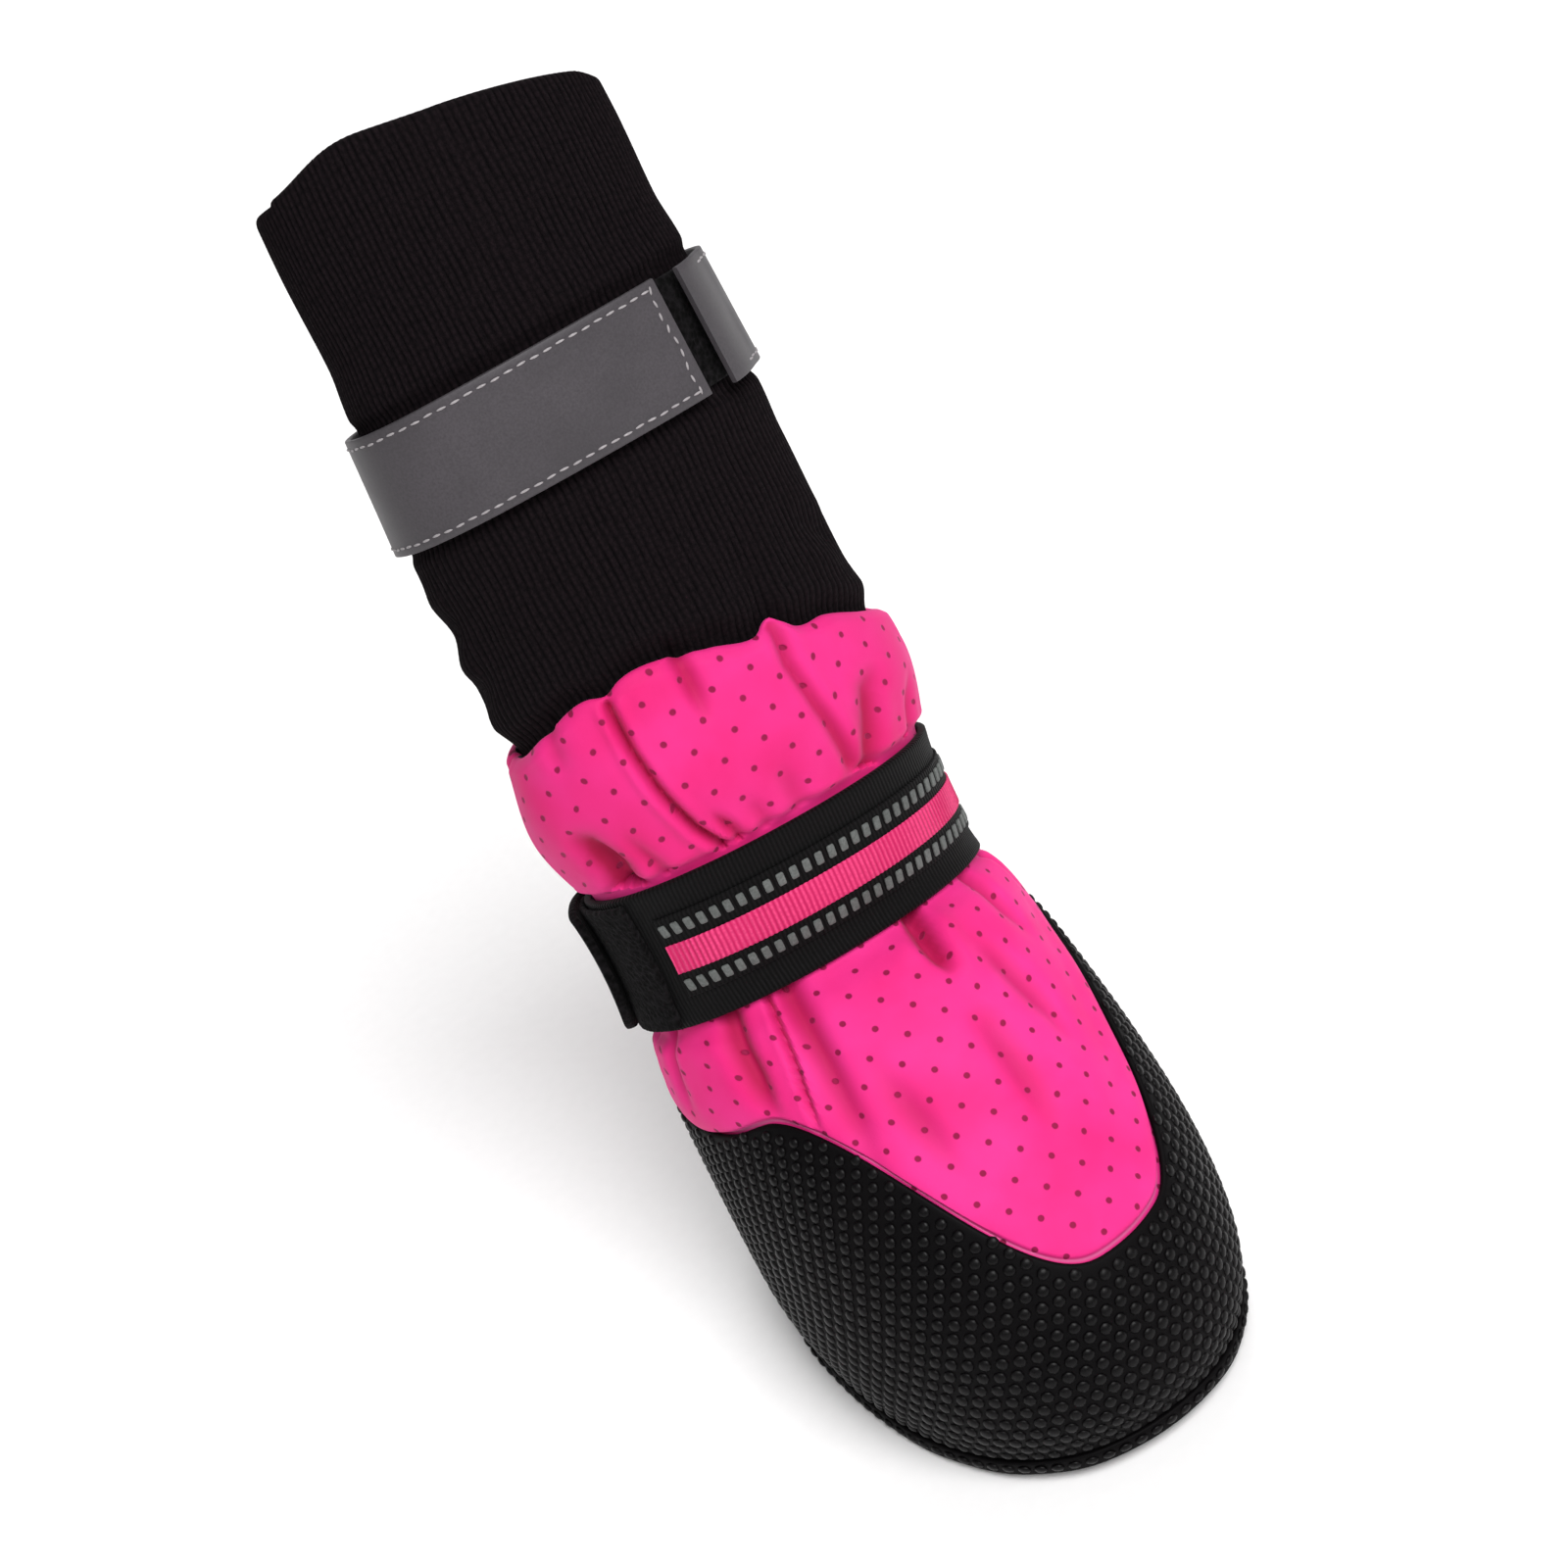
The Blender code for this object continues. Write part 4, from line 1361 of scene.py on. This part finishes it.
@dataclass
class RubberRand:
    """Dotted rubber overlay round the foot."""

    form: BootForm
    wall: float = 0.0013
    gap: float = 0.0003
    columns: int = 300
    dot_pitch: float = 0.0030
    dot_width: float = 0.0024
    dot_height: float = 0.00050
    first_row: float = 0.0014
    rim_dot: float = 0.0019
    rim_out: float = 0.0022
    rim_drop: float = 0.0018
    edge_margin: float = 0.0006
    widest: float = 0.012
    highest: float = 0.062

    def relief(self, path: np.ndarray, angle: np.ndarray) -> np.ndarray:
        """Height of the rubber's face, with its joint at the heel.

        Args:
            path: Paths on the spine.
            angle: Angles round it.

        Returns:
            Height at each place, in metres.
        """
        side = np.abs(np.mod(np.degrees(angle) + 90.0 + 180.0, 360.0) - 180.0)
        joint = 0.35 * MM * np.exp(-((side / 1.1) ** 2))
        return self.gap + self.wall - joint + 0.0 * path

    def build(self, finishes: Finishes) -> None:
        """Makes the rubber wall and its dots.

        Args:
            finishes: The boot's finishes.
        """
        rows = ((level(0.0), 40), (self.form.rand_edge, 0))
        wall = Wall(self.form, rows, self.columns, self.wall, self.relief, bottom=Rim.SQUARE,
                    inner_share=0.25)
        settle(wall.build("rubber_rand_wall", finishes.rubber), "rubber_black", "rubber_rand")
        settle(domes("rubber_dots", self.face_dots() + self.rim_dots(), finishes.dots),
               "rubber_black")

    def face_dots(self) -> list[Matrix]:
        """Seats of the dots on a hexagonal lattice measured along the rubber.

        Returns:
            One matrix for each dot.
        """
        form, heel, face = self.form, -TURN / 4, self.gap + self.wall
        ring = form.even_angles(self.widest, heel, heel + TURN, self.dot_pitch, self.wall)
        halfway = ring + np.roll(ring, -1)
        halfway[-1] += TURN
        pitch = self.dot_pitch * math.sqrt(3.0)
        paths = np.linspace(0.0, self.highest, 125)
        faces = np.full(len(paths), face)
        broad = float(form.radius(np.array([self.widest]))[0])
        seats = []
        for turns, first in ((ring, 0.0), (halfway / 2, pitch / 2)):
            for angle in turns:
                climb = run_lengths(form.wall(paths, np.full(len(paths), angle), faces))
                top = float(form.rand_edge(np.array([angle]))[0]) - self.edge_margin
                height = self.first_row + first
                while height < climb[-1]:
                    path = float(np.interp(height, climb, paths))
                    if path > top:
                        break
                    squeeze = float(form.radius(np.array([path]))[0]) / broad
                    wide = self.dot_width / 2 * min(1.0, max(0.8, squeeze))
                    seats.append(form.seat(path, angle, face) @ Matrix.Diagonal(
                        (wide, wide, self.dot_height, 1.0)))
                    height += pitch
        return seats

    def rim_dots(self) -> list[Matrix]:
        """Seats of the one row of small dots along the sole's rim.

        Returns:
            One matrix for each dot.
        """
        form, heel = self.form, -TURN / 4
        small = Matrix.Diagonal((self.dot_width / 2, self.rim_dot / 2, self.dot_height, 1.0))
        drop = Matrix.Translation((0.0, 0.0, -self.rim_drop))
        run = form.even_angles(0.0, heel, heel + TURN, self.dot_pitch, self.rim_out)
        return [drop @ form.seat(0.0, float(angle), self.rim_out) @ small for angle in run]


@dataclass
class KnitShaft:
    """Rib-knit shaft from inside the softshell's edge up to the collar."""

    form: BootForm
    straps: StrapLines
    upper: SoftshellUpper
    wall: float = 0.0022
    ribs: int = 130
    columns_per_rib: int = 6
    rib_height: float = 0.36
    tuck: float = 0.0070
    ease: float = 0.0060
    gap: float = 0.0003
    swell: float = 0.55
    middle: float = 0.150
    phase_steps: int = 721
    folds: tuple = (
        Crease(((134.0, 150), (146.0, 156), (160.0, 153)), 4.0, 0.5, 0.3, 0.3, (0.4, 0.4)),
        Crease(((133.0, 124), (140.0, 126), (149.0, 123)), 3.0, 0.5, 0.2, 0.3, (0.1, 0.7)),
        Crease(((131.0, 71), (138.0, 73), (149.0, 70)), 2.6, 0.6, 0.2, 0.3, (0.05, 0.7)),
        Crease(((132.0, 97), (139.0, 98), (146.0, 96)), 2.6, 0.4, 0.2, 0.2, (0.05, 0.7)),
        Crease(((137.0, 196), (139.0, 176), (142.0, 158)), 2.4, 0.6, 0.2, 0.5, (0.3, 0.5)),
        Crease(((149.0, 190), (152.0, 172), (155.0, 160)), 2.6, 0.5, 0.2, 0.5, (0.3, 0.5)),
        Crease(((134.0, 20), (139.0, 38), (141.0, 52)), 2.4, 0.6, 0.2, 0.5, (0.3, 0.5)),
        Crease(((148.0, 350), (151.0, 12), (154.0, 30)), 2.8, 0.5, 0.2, 0.4, (0.3, 0.5)),
        Crease(((136.0, 240), (139.0, 262), (137.0, 288)), 2.6, 0.6, 0.2, 0.5, (0.3, 0.3)),
        Crease(((190.0, 140), (198.0, 137), (206.0, 140)), 4.0, 0.4, 0.2, 0.2, (0.2, 0.7)),
        Crease(((190.0, 60), (198.0, 63), (207.0, 60)), 4.0, 0.4, 0.2, 0.2, (0.2, 0.7)),
        Crease(((190.0, 250), (199.0, 253), (208.0, 249)), 4.0, 0.5, 0.2, 0.2, (0.2, 0.7)),
    )

    def relief(self, path: np.ndarray, angle: np.ndarray) -> np.ndarray:
        """Height of the knit's face: tucked into the softshell, ribbed, soft at the straps.

        Args:
            path: Paths on the spine.
            angle: Angles round it.

        Returns:
            Height at each place, in metres.
        """
        edge = self.upper.edge(angle)
        under = self.upper.relief(np.minimum(path, edge), angle)
        tucked = under - (self.upper.wall + self.gap)
        here = path / MM
        low, high = (edge / MM for edge in self.straps.cuff_edges)
        outside = np.maximum(low - here, here - high)
        swell = self.swell * smooth_step(outside / 3.0)
        swell = swell * (1.0 - smooth_step((outside - 3.0) / 9.0))
        fold = folds_at(self.folds, self.form, path, angle) + swell
        fold = fold * smooth_step(outside / 2.4)
        rib = self.rib_height * (self.crest(path, angle) - 1.0)
        share = smooth_step((path - edge) / self.ease)
        return (mix(tucked / MM, fold, share) + rib) * MM

    def crest(self, path: np.ndarray, angle: np.ndarray) -> np.ndarray:
        """Height of the ribs, 0 in a valley and 1 on a crest; the ribs sway a little."""
        sway = 0.10 * np.sin(path / MM * 0.35 + np.degrees(angle) * 0.12)
        return np.abs(np.cos(math.pi * (self.rib_phase(angle) + sway))) ** 0.8

    def rib_phase(self, angle: np.ndarray) -> np.ndarray:
        """Number of ribs from the heel to each angle, even in width at the middle.

        Args:
            angle: Angles round it.

        Returns:
            Number at each angle.
        """
        turns = np.linspace(-TURN / 4, 3 * TURN / 4, self.phase_steps)
        reach = run_lengths(self.form.point(np.full(self.phase_steps, self.middle), turns))
        return np.interp(angle, turns, reach / reach[-1] * self.ribs)

    def build(self, finishes: Finishes) -> bpy.types.Object:
        """Makes the shaft as one hollow wall with a rounded collar.

        Args:
            finishes: The boot's finishes.

        Returns:
            The finished piece.
        """
        edge = self.upper.edge
        low, high = self.straps.cuff_edges
        rows = (
            (lambda angle: edge(angle) - self.tuck, 4),
            (lambda angle: edge(angle) - 0.0005, 13),
            (lambda angle: edge(angle) + 0.0070, 27),
            (level(low - 0.0040), 8),
            (level(low), 6),
            (level(high), 8),
            (level(high + 0.0040), 26),
            (self.form.collar_edge, 0),
        )
        # The crest is also kept as the mark, from which the knit's finish paints shade into the
        # rib valleys.
        wall = Wall(self.form, rows, self.ribs * self.columns_per_rib, self.wall, self.relief,
                    bottom=Rim.SQUARE, inner_share=0.15, mark=self.crest)
        return settle(wall.build("knit_shaft", finishes.knit), "knit_black", "shaft")


@dataclass
class Stitching:
    """Short dashes of thread sewn into cloth."""

    dash: float = 0.0017
    pitch: float = 0.0023
    thread: float = 0.00042
    seats: list = field(default_factory=list)

    def add(self, seat: Matrix, turn: float = 0.0, scale: float = 1.0) -> None:
        """Marks the place of one dash.

        Args:
            seat: Place on the cloth.
            turn: Turn of the dash on the cloth.
            scale: Share of the usual length.
        """
        shape = Matrix.Diagonal((self.dash / 2 * scale, self.thread / 2, self.thread * 0.42, 1.0))
        self.seats.append(seat @ Matrix.Rotation(turn, 4, "Z") @ shape)


@dataclass
class AnkleStrap:
    """Webbing ring with its striped ribbon, loop patch and free end."""

    form: BootForm
    straps: StrapLines
    gap: float = 0.0003
    wall: float = 0.0014
    ribbon_width: float = 0.0162
    ribbon_wall: float = 0.0004
    stripe_width: float = 0.0057
    stripe_wall: float = 0.00025
    stripe_rib: float = 0.0009
    block_pitch: float = 0.00240
    block_length: float = 0.00135
    block_from: float = 0.0045
    block_to: float = 0.0068
    patch_wall: float = 0.0011
    ribbon_angles: tuple = (-8, 18)
    patch_angles: tuple = (19, 25)
    tab_angles: tuple = (22, 30)
    tab_lift: float = 0.0010
    tab_corner: float = 0.0085
    tab_radius: float = 0.030
    tab_free: float = 2.0
    edge_reach: float = 0.00025
    seam: float = 0.0001
    block_sink: float = 0.00005
    block_height: float = 0.0005
    patch_margin: float = 0.0006

    def band(self, half: float) -> tuple[Edge, Edge]:
        """Lower and upper edge of a band on the strap's middle line."""
        middle = self.straps.ankle
        return level(middle - half), level(middle + half)

    def selvedge(self, path: np.ndarray) -> np.ndarray:
        """Small ridge along each woven edge of the webbing."""
        side = np.abs(path - self.straps.ankle) / MM
        return 0.07 * MM * np.exp(-(((side - 12.6) / 0.5) ** 2))

    def build(self, finishes: Finishes) -> None:
        """Makes every piece of the strap.

        Args:
            finishes: The boot's finishes.
        """
        outside = self.gap + self.wall
        low, high = self.band(self.straps.ankle_width / 2)
        webbing = Wall(self.form, ((low, 26), (high, 0)), 264, self.wall,
                       lambda path, angle: outside + self.selvedge(path) + 0.0 * angle,
                       reach=self.edge_reach)
        settle(webbing.build("ankle_webbing", finishes.webbing), "webbing_black",
               "ankle_strap")
        self.build_ribbon(finishes, outside + self.seam)
        self.build_patch(finishes, outside + self.gap)
        self.build_tab(finishes, outside + self.gap)

    def build_ribbon(self, finishes: Finishes, face: float) -> None:
        """Makes the ribbon with its pink stripe and its blocks, on a face of the webbing.

        Args:
            finishes: The boot's finishes.
            face: Distance outside the form of what it lies on.
        """
        form = self.form
        start, end = (strap_column(number) for number in self.ribbon_angles)
        top = face + self.ribbon_wall
        low, high = self.band(self.ribbon_width / 2)
        ribbon = Wall(form, ((low, 16), (high, 0)), 160, self.ribbon_wall,
                      even(top), start, end)
        settle(ribbon.build("ribbon_ground", finishes.webbing), "ribbon_pink", "ankle_ribbon")
        reach = form.even_angles(self.straps.ankle, start, end, self.stripe_rib, top)
        ladder = np.linspace(start, end, SAMPLES)
        marks = np.interp(ladder, reach, np.arange(len(reach)))
        low, high = self.band(self.stripe_width / 2)

        def ribbed(path: np.ndarray, angle: np.ndarray) -> np.ndarray:
            """Face of the stripe with its cross ribs."""
            count = np.interp(angle, ladder, marks)
            return top + self.stripe_wall + 0.08 * MM * np.cos(TURN * count) + 0.0 * path

        stripe = Wall(form, ((low, 6), (high, 0)), len(reach) * 6, self.stripe_wall, ribbed,
                      start, end, inner_share=0.3)
        settle(stripe.build("ribbon_stripe", finishes.stripe), "ribbon_pink")
        self.build_blocks(finishes, start, end, top)

    def build_blocks(self, finishes: Finishes, start: float, end: float, top: float) -> None:
        """Sets the two rows of reflective blocks on the ribbon's face.

        Args:
            finishes: The boot's finishes.
            start: Angle where the ribbon starts.
            end: Angle where it ends.
            top: Distance of its face outside the form.
        """
        mesh = bpy.data.meshes.new("ribbon_blocks")
        mesh.materials.append(finishes.bead)
        wide = self.block_to - self.block_from
        seats = []
        for side in (-1.0, 1.0):
            path = self.straps.ankle + side * (self.block_from + wide / 2)
            for angle in self.form.even_angles(path, start, end, self.block_pitch, top):
                seat = self.form.seat(path, float(angle), top + self.block_sink)
                seats.append(seat @ Matrix.Diagonal(
                    (self.block_length, wide, self.block_height, 1.0)))
        maker = bmesh.new()
        bmesh.ops.create_cube(maker, size=1.0)
        bmesh.ops.bevel(
            maker, geom=maker.edges[:], affect="EDGES", offset=0.16, segments=2,
            profile=0.5, material=-1)
        repeated(maker, seats)
        settle(finished("ribbon_blocks", maker, mesh, 35.0), "reflective_grey")

    def build_patch(self, finishes: Finishes, face: float) -> None:
        """Makes the loop patch.

        Args:
            finishes: The boot's finishes.
            face: Distance outside the form of what it lies on.
        """
        start, end = (strap_column(number) for number in self.patch_angles)
        low, high = self.band(self.straps.ankle_width / 2 - self.patch_margin)

        def napped(path: np.ndarray, angle: np.ndarray) -> np.ndarray:
            """Face of the patch, tufted by its loops.

            Args:
                path: Paths on the spine.
                angle: Angles round it.

            Returns:
                Height at each place, in metres.
            """
            tuft = np.sin(path / MM * 4.1 + 3.0 * np.sin(angle * 61.0))
            tuft = tuft * np.sin(angle * 173.0 + 2.0 * np.sin(path / MM * 1.7))
            return face + self.patch_wall + 0.12 * MM * tuft

        patch = Wall(self.form, ((low, 60), (high, 0)), 80, self.patch_wall, napped, start, end)
        settle(patch.build("loop_patch", finishes.loop), "loop_black", "ankle_loop_patch")

    def build_tab(self, finishes: Finishes, face: float) -> None:
        """Makes the webbing's free end, laid over the patch.

        Args:
            finishes: The boot's finishes.
            face: Distance outside the form of what it lies on.
        """
        straps = self.straps
        start, end = (strap_column(number) for number in self.tab_angles)
        patch_end, free_run = strap_column(self.patch_angles[1]), strap_column(self.tab_free)

        def lifted(path: np.ndarray, angle: np.ndarray) -> np.ndarray:
            """Outer face of the free end, which stands off at its tip.

            Args:
                path: Paths on the spine.
                angle: Angles round it.

            Returns:
                Height at each place, in metres.
            """
            free = 1.0 - (angle - start) / free_run
            on_patch = 1.0 - (angle - patch_end) / (end - free_run - patch_end)
            rise = (self.patch_wall + self.gap) * smooth_step(on_patch)
            curl = 1.0 + 0.15 * (straps.ankle - path) / (straps.ankle_width / 2)
            rise = rise + self.tab_lift * smooth_step(free) * curl
            return face + self.wall + rise + self.selvedge(path)

        def rounded(sign: float) -> Edge:
            """Edge of the free end, its corner rounded at the tip.

            Args:
                sign: -1 for the lower edge, 1 for the upper one.

            Returns:
                The edge's function.
            """
            def edge(angle: np.ndarray) -> np.ndarray:
                """Path of the edge.

                Args:
                    angle: Angles round it.

                Returns:
                    Its path at each angle.
                """
                cut = 1.0 - (angle - start) * self.tab_radius / self.tab_corner
                cut = np.clip(cut, 0.0, 1.0)
                inset = self.tab_corner * (1.0 - np.sqrt(1.0 - cut**2))
                inset = inset * (1.0 if sign < 0 else 0.35)
                return straps.ankle + sign * (straps.ankle_width / 2 - inset)
            return edge

        tab = Wall(self.form, ((rounded(-1.0), 24), (rounded(1.0), 0)), 90, self.wall, lifted,
                   start, end, reach=self.edge_reach)
        settle(tab.build("webbing_end", finishes.loop), "webbing_black", "ankle_tab")


@dataclass
class ReflectiveStrap:
    """Stitched reflective strap on a ring of loop tape round the knit."""

    form: BootForm
    straps: StrapLines
    gap: float = 0.0003
    base_wall: float = 0.0009
    base_margin: float = 0.0008
    wall: float = 0.0010
    columns: tuple = (7, 50)
    tab_steps: float = 3.0
    tab_lift: float = 0.0018
    edge_reach: float = 0.0002
    stitch_inset: float = 0.0015
    end_inset: float = 0.0016
    end_stitches: int = 9
    thread_sink: float = 0.00006

    def lifted(self, path: np.ndarray, angle: np.ndarray) -> np.ndarray:
        """Outer face of the strap, its free end standing off.

        Args:
            path: Paths on the spine.
            angle: Angles round it.

        Returns:
            Height at each place, in metres.
        """
        face = self.gap + self.base_wall + self.gap + self.wall
        share = 1.0 - (strap_column(self.columns[1]) - angle) / strap_column(self.tab_steps)
        return face + self.tab_lift * smooth_step(share) + 0.0 * path

    def build(self, finishes: Finishes) -> None:
        """Makes the loop ring, the strap and its stitches.

        Args:
            finishes: The boot's finishes.
        """
        low, high = self.straps.cuff_edges
        base = Wall(
            self.form, ((level(low + self.base_margin), 14), (level(high - self.base_margin), 0)),
            220, self.base_wall, even(self.gap + self.base_wall))
        settle(base.build("loop_ring", finishes.loop), "loop_black", "cuff_strap_base")
        start, end = (strap_column(number) for number in self.columns)
        strap = Wall(self.form, ((level(low), 18), (level(high), 0)), 240, self.wall,
                     self.lifted, start, end, reach=self.edge_reach)
        settle(strap.build("reflective_band", finishes.film), "reflective_grey", "cuff_strap")
        sewing = Stitching()
        self.sew_edges(sewing, start + 0.05, end - 0.25)
        self.sew_end(sewing, start + 0.062)
        settle(domes("strap_stitches", sewing.seats, finishes.thread), "reflective_grey")

    def on_strap(self, path: float, angle: float) -> Matrix:
        """Seat of a thread on the strap's face."""
        face = float(self.lifted(np.array([0.0]), np.array([angle]))[0])
        return self.form.seat(path, angle, face + self.thread_sink)

    def sew_edges(self, sewing: Stitching, start: float, end: float) -> None:
        """Sews along both long edges, each dash a little out of line.

        Args:
            sewing: Takes the dashes.
            start: Angle of the first dash.
            end: Angle of the last dash.
        """
        straps = self.straps
        for side in (-1.0, 1.0):
            path = straps.cuff + side * (straps.cuff_width / 2 - self.stitch_inset)
            run = self.form.even_angles(path, start, end, sewing.pitch, 0.0025)
            for number, angle in enumerate(run):
                wobble = 0.00008 * math.sin(number * 1.9 + side)
                sewing.add(self.on_strap(path + wobble, float(angle)),
                           0.05 * math.sin(number * 2.7))

    def sew_end(self, sewing: Stitching, start: float) -> None:
        """Sews across the fixed end by hand, so its dashes lie at odd angles.

        Args:
            sewing: Takes the dashes.
            start: Angle of the seam.
        """
        low, high = self.straps.cuff_edges
        run = np.linspace(low + self.end_inset, high - self.end_inset, self.end_stitches)
        for number, path in enumerate(run):
            angle = start + 0.010 * math.sin(number * 1.3)
            turn = math.radians(90.0 + 14.0 * math.sin(number * 2.1))
            sewing.add(self.on_strap(float(path), angle), turn, 0.85)


@dataclass
class Sole:
    """Outsole with its thin rim and ribbed underside, and the lining board inside."""

    form: BootForm
    thickness: float = 0.0032
    edge_round: float = 0.0005
    offset: float = 0.0022
    columns: int = 264
    tread_pitch: float = 0.0050
    tread_depth: float = 0.0009

    def build(self, finishes: Finishes) -> None:
        """Makes the outsole from a grid rolled round the foot's outline.

        Args:
            finishes: The boot's finishes.
        """
        form = self.form
        angles = np.linspace(-TURN / 4, 3 * TURN / 4, self.columns + 1)
        zero = np.zeros_like(angles)
        out = form.normal(zero, angles)
        out[:, 2] = 0.0
        out /= np.linalg.norm(out, axis=1, keepdims=True)
        outline = form.point(zero, angles)
        arc = np.radians(np.arange(-90, 91, 30))
        inner = self.offset - self.edge_round
        rows = [(share, inner, 0.0) for share in np.linspace(0.0, 1.0, 40)[:-1]]
        for swing in arc:
            low = self.edge_round if swing < 0 else self.thickness - self.edge_round
            if swing == 0:
                rows.append((1.0, inner + self.edge_round, self.edge_round))
            rows.append((1.0, inner + self.edge_round * math.cos(swing),
                         low + self.edge_round * math.sin(swing)))
        rows += [(share, inner, self.thickness) for share in np.linspace(1.0, 0.0, 14)[1:]]
        middle = np.array([0.0, -form.ball_ahead])
        points = np.zeros((len(rows), len(angles), 3))
        for number, (share, offset, height) in enumerate(rows):
            flat = outline[:, :2] + out[:, :2] * offset
            points[number, :, :2] = middle + (flat - middle) * share
            lift = 0.0
            if height == 0.0 and 0.0 < share < 0.965:
                x, y = points[number, :, 0], points[number, :, 1]
                wave = np.cos(TURN * y / self.tread_pitch + 1.4 * np.cos(
                    TURN * x / (2.0 * self.tread_pitch)))
                lift = self.tread_depth * smooth_step((wave + 0.2) / 0.6)
                lift = lift * smooth_step((0.965 - share) / 0.03)
            points[number, :, 2] = height + lift
            swell = 0.08 * MM * np.sin(angles * 17.0)
            points[number, :, :2] += out[:, :2] * (swell * (share > 0.99))[:, None]
        mesh, _, _ = grid_mesh("outsole_panel", form.spring(points))
        mesh.materials.append(finishes.rubber)
        settle(welded("outsole_panel", mesh), "rubber_black", "outsole")
        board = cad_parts["insole"]
        for slot in board.material_slots:
            slot.material = finishes.fleece
        LOG.info("insole: CAD node dressed in fleece")


@dataclass
class Studio:
    """Plain pale floor, soft lights and the photograph's camera."""

    azimuth: float = -26.0
    elevation: float = 36.0
    roll: float = 17.5
    distance: float = 0.524
    beside: float = 0.0591
    above: float = 0.0238
    aim: tuple = (-0.001, 0.0, 0.0)
    lens: float = 76.0
    world_light: float = 0.24
    lit_place: tuple = (0.0, -0.01, 0.10)
    panels: tuple = (
        ("key", (0.25, -1.72, 2.55), 2.1, 108.0),
        ("fill", (-2.40, -1.40, 2.00), 2.2, 12.0),
        ("back", (0.90, 1.90, 2.40), 2.2, 40.0),
    )

    def build(self) -> None:
        """Makes the floor, the lights, the world and the camera."""
        self.build_floor()
        self.build_lights()
        self.build_camera()

    def build_floor(self) -> None:
        """Lays a broad matt floor at the height of the sole."""
        mesh = bpy.data.meshes.new("floor")
        mesh.materials.append(WhitePaper().material())
        maker = bmesh.new()
        bmesh.ops.create_grid(maker, x_segments=4, y_segments=4, size=6.0)
        finished("floor", maker, mesh)

    def build_lights(self) -> None:
        """Hangs soft panels over the boot and sets an even pale world."""
        world = bpy.data.worlds.new("soft studio")
        world.use_nodes = True
        ground = world.node_tree.nodes["Background"]
        ground.inputs["Color"].default_value = linear("#FFFFFF")
        ground.inputs["Strength"].default_value = self.world_light
        bpy.context.scene.world = world
        for name, place, size, power in self.panels:
            light = bpy.data.lights.new(name, "AREA")
            light.shape = "DISK"
            light.size = size
            light.energy = power
            lamp = bpy.data.objects.new(name, light)
            lamp.location = place
            aim = Vector(self.lit_place) - Vector(place)
            lamp.rotation_mode = "QUATERNION"
            lamp.rotation_quaternion = aim.to_track_quat("-Z", "Y")
            bpy.context.scene.collection.objects.link(lamp)

    def build_camera(self) -> None:
        """Sets the camera at the photograph's angle and roll, turned to the one boot."""
        low, high = CAD_BOX
        middle = (low + high) / 2
        turn, lift = math.radians(self.azimuth), math.radians(self.elevation)
        back = Vector((
            math.sin(turn) * math.cos(lift), -math.cos(turn) * math.cos(lift),
            math.sin(lift)))
        rolled = back.to_track_quat("Z", "Y").to_matrix()
        rolled = rolled @ Matrix.Rotation(-math.radians(self.roll), 3, "Z")
        stand = middle + back * self.distance + rolled @ Vector((self.beside, self.above, 0.0))
        sight = middle + Vector(self.aim) - stand
        swing = (-rolled.col[2]).rotation_difference(sight)
        view = (swing.to_matrix() @ rolled).to_4x4()
        view.translation = stand
        lens = bpy.data.cameras.new("camera")
        lens.lens = self.lens
        lens.sensor_width = 36.0
        lens.clip_start, lens.clip_end = 0.01, 20.0
        camera = bpy.data.objects.new("camera", lens)
        camera.matrix_world = view
        bpy.context.scene.collection.objects.link(camera)
        bpy.context.scene.camera = camera
        bpy.context.scene.view_settings.view_transform = "Standard"


def main() -> None:
    """Builds the boot's pieces in order, then the studio."""
    logging.basicConfig(level=logging.INFO, format="%(name)s %(message)s")
    form = BootForm()
    straps = StrapLines(form)
    finishes = Finishes()
    upper = SoftshellUpper(form, straps)
    upper.build(finishes)
    RubberRand(form).build(finishes)
    KnitShaft(form, straps, upper).build(finishes)
    AnkleStrap(form, straps).build(finishes)
    ReflectiveStrap(form, straps).build(finishes)
    Sole(form).build(finishes)
    Studio().build()


if __name__ == "__main__":
    main()
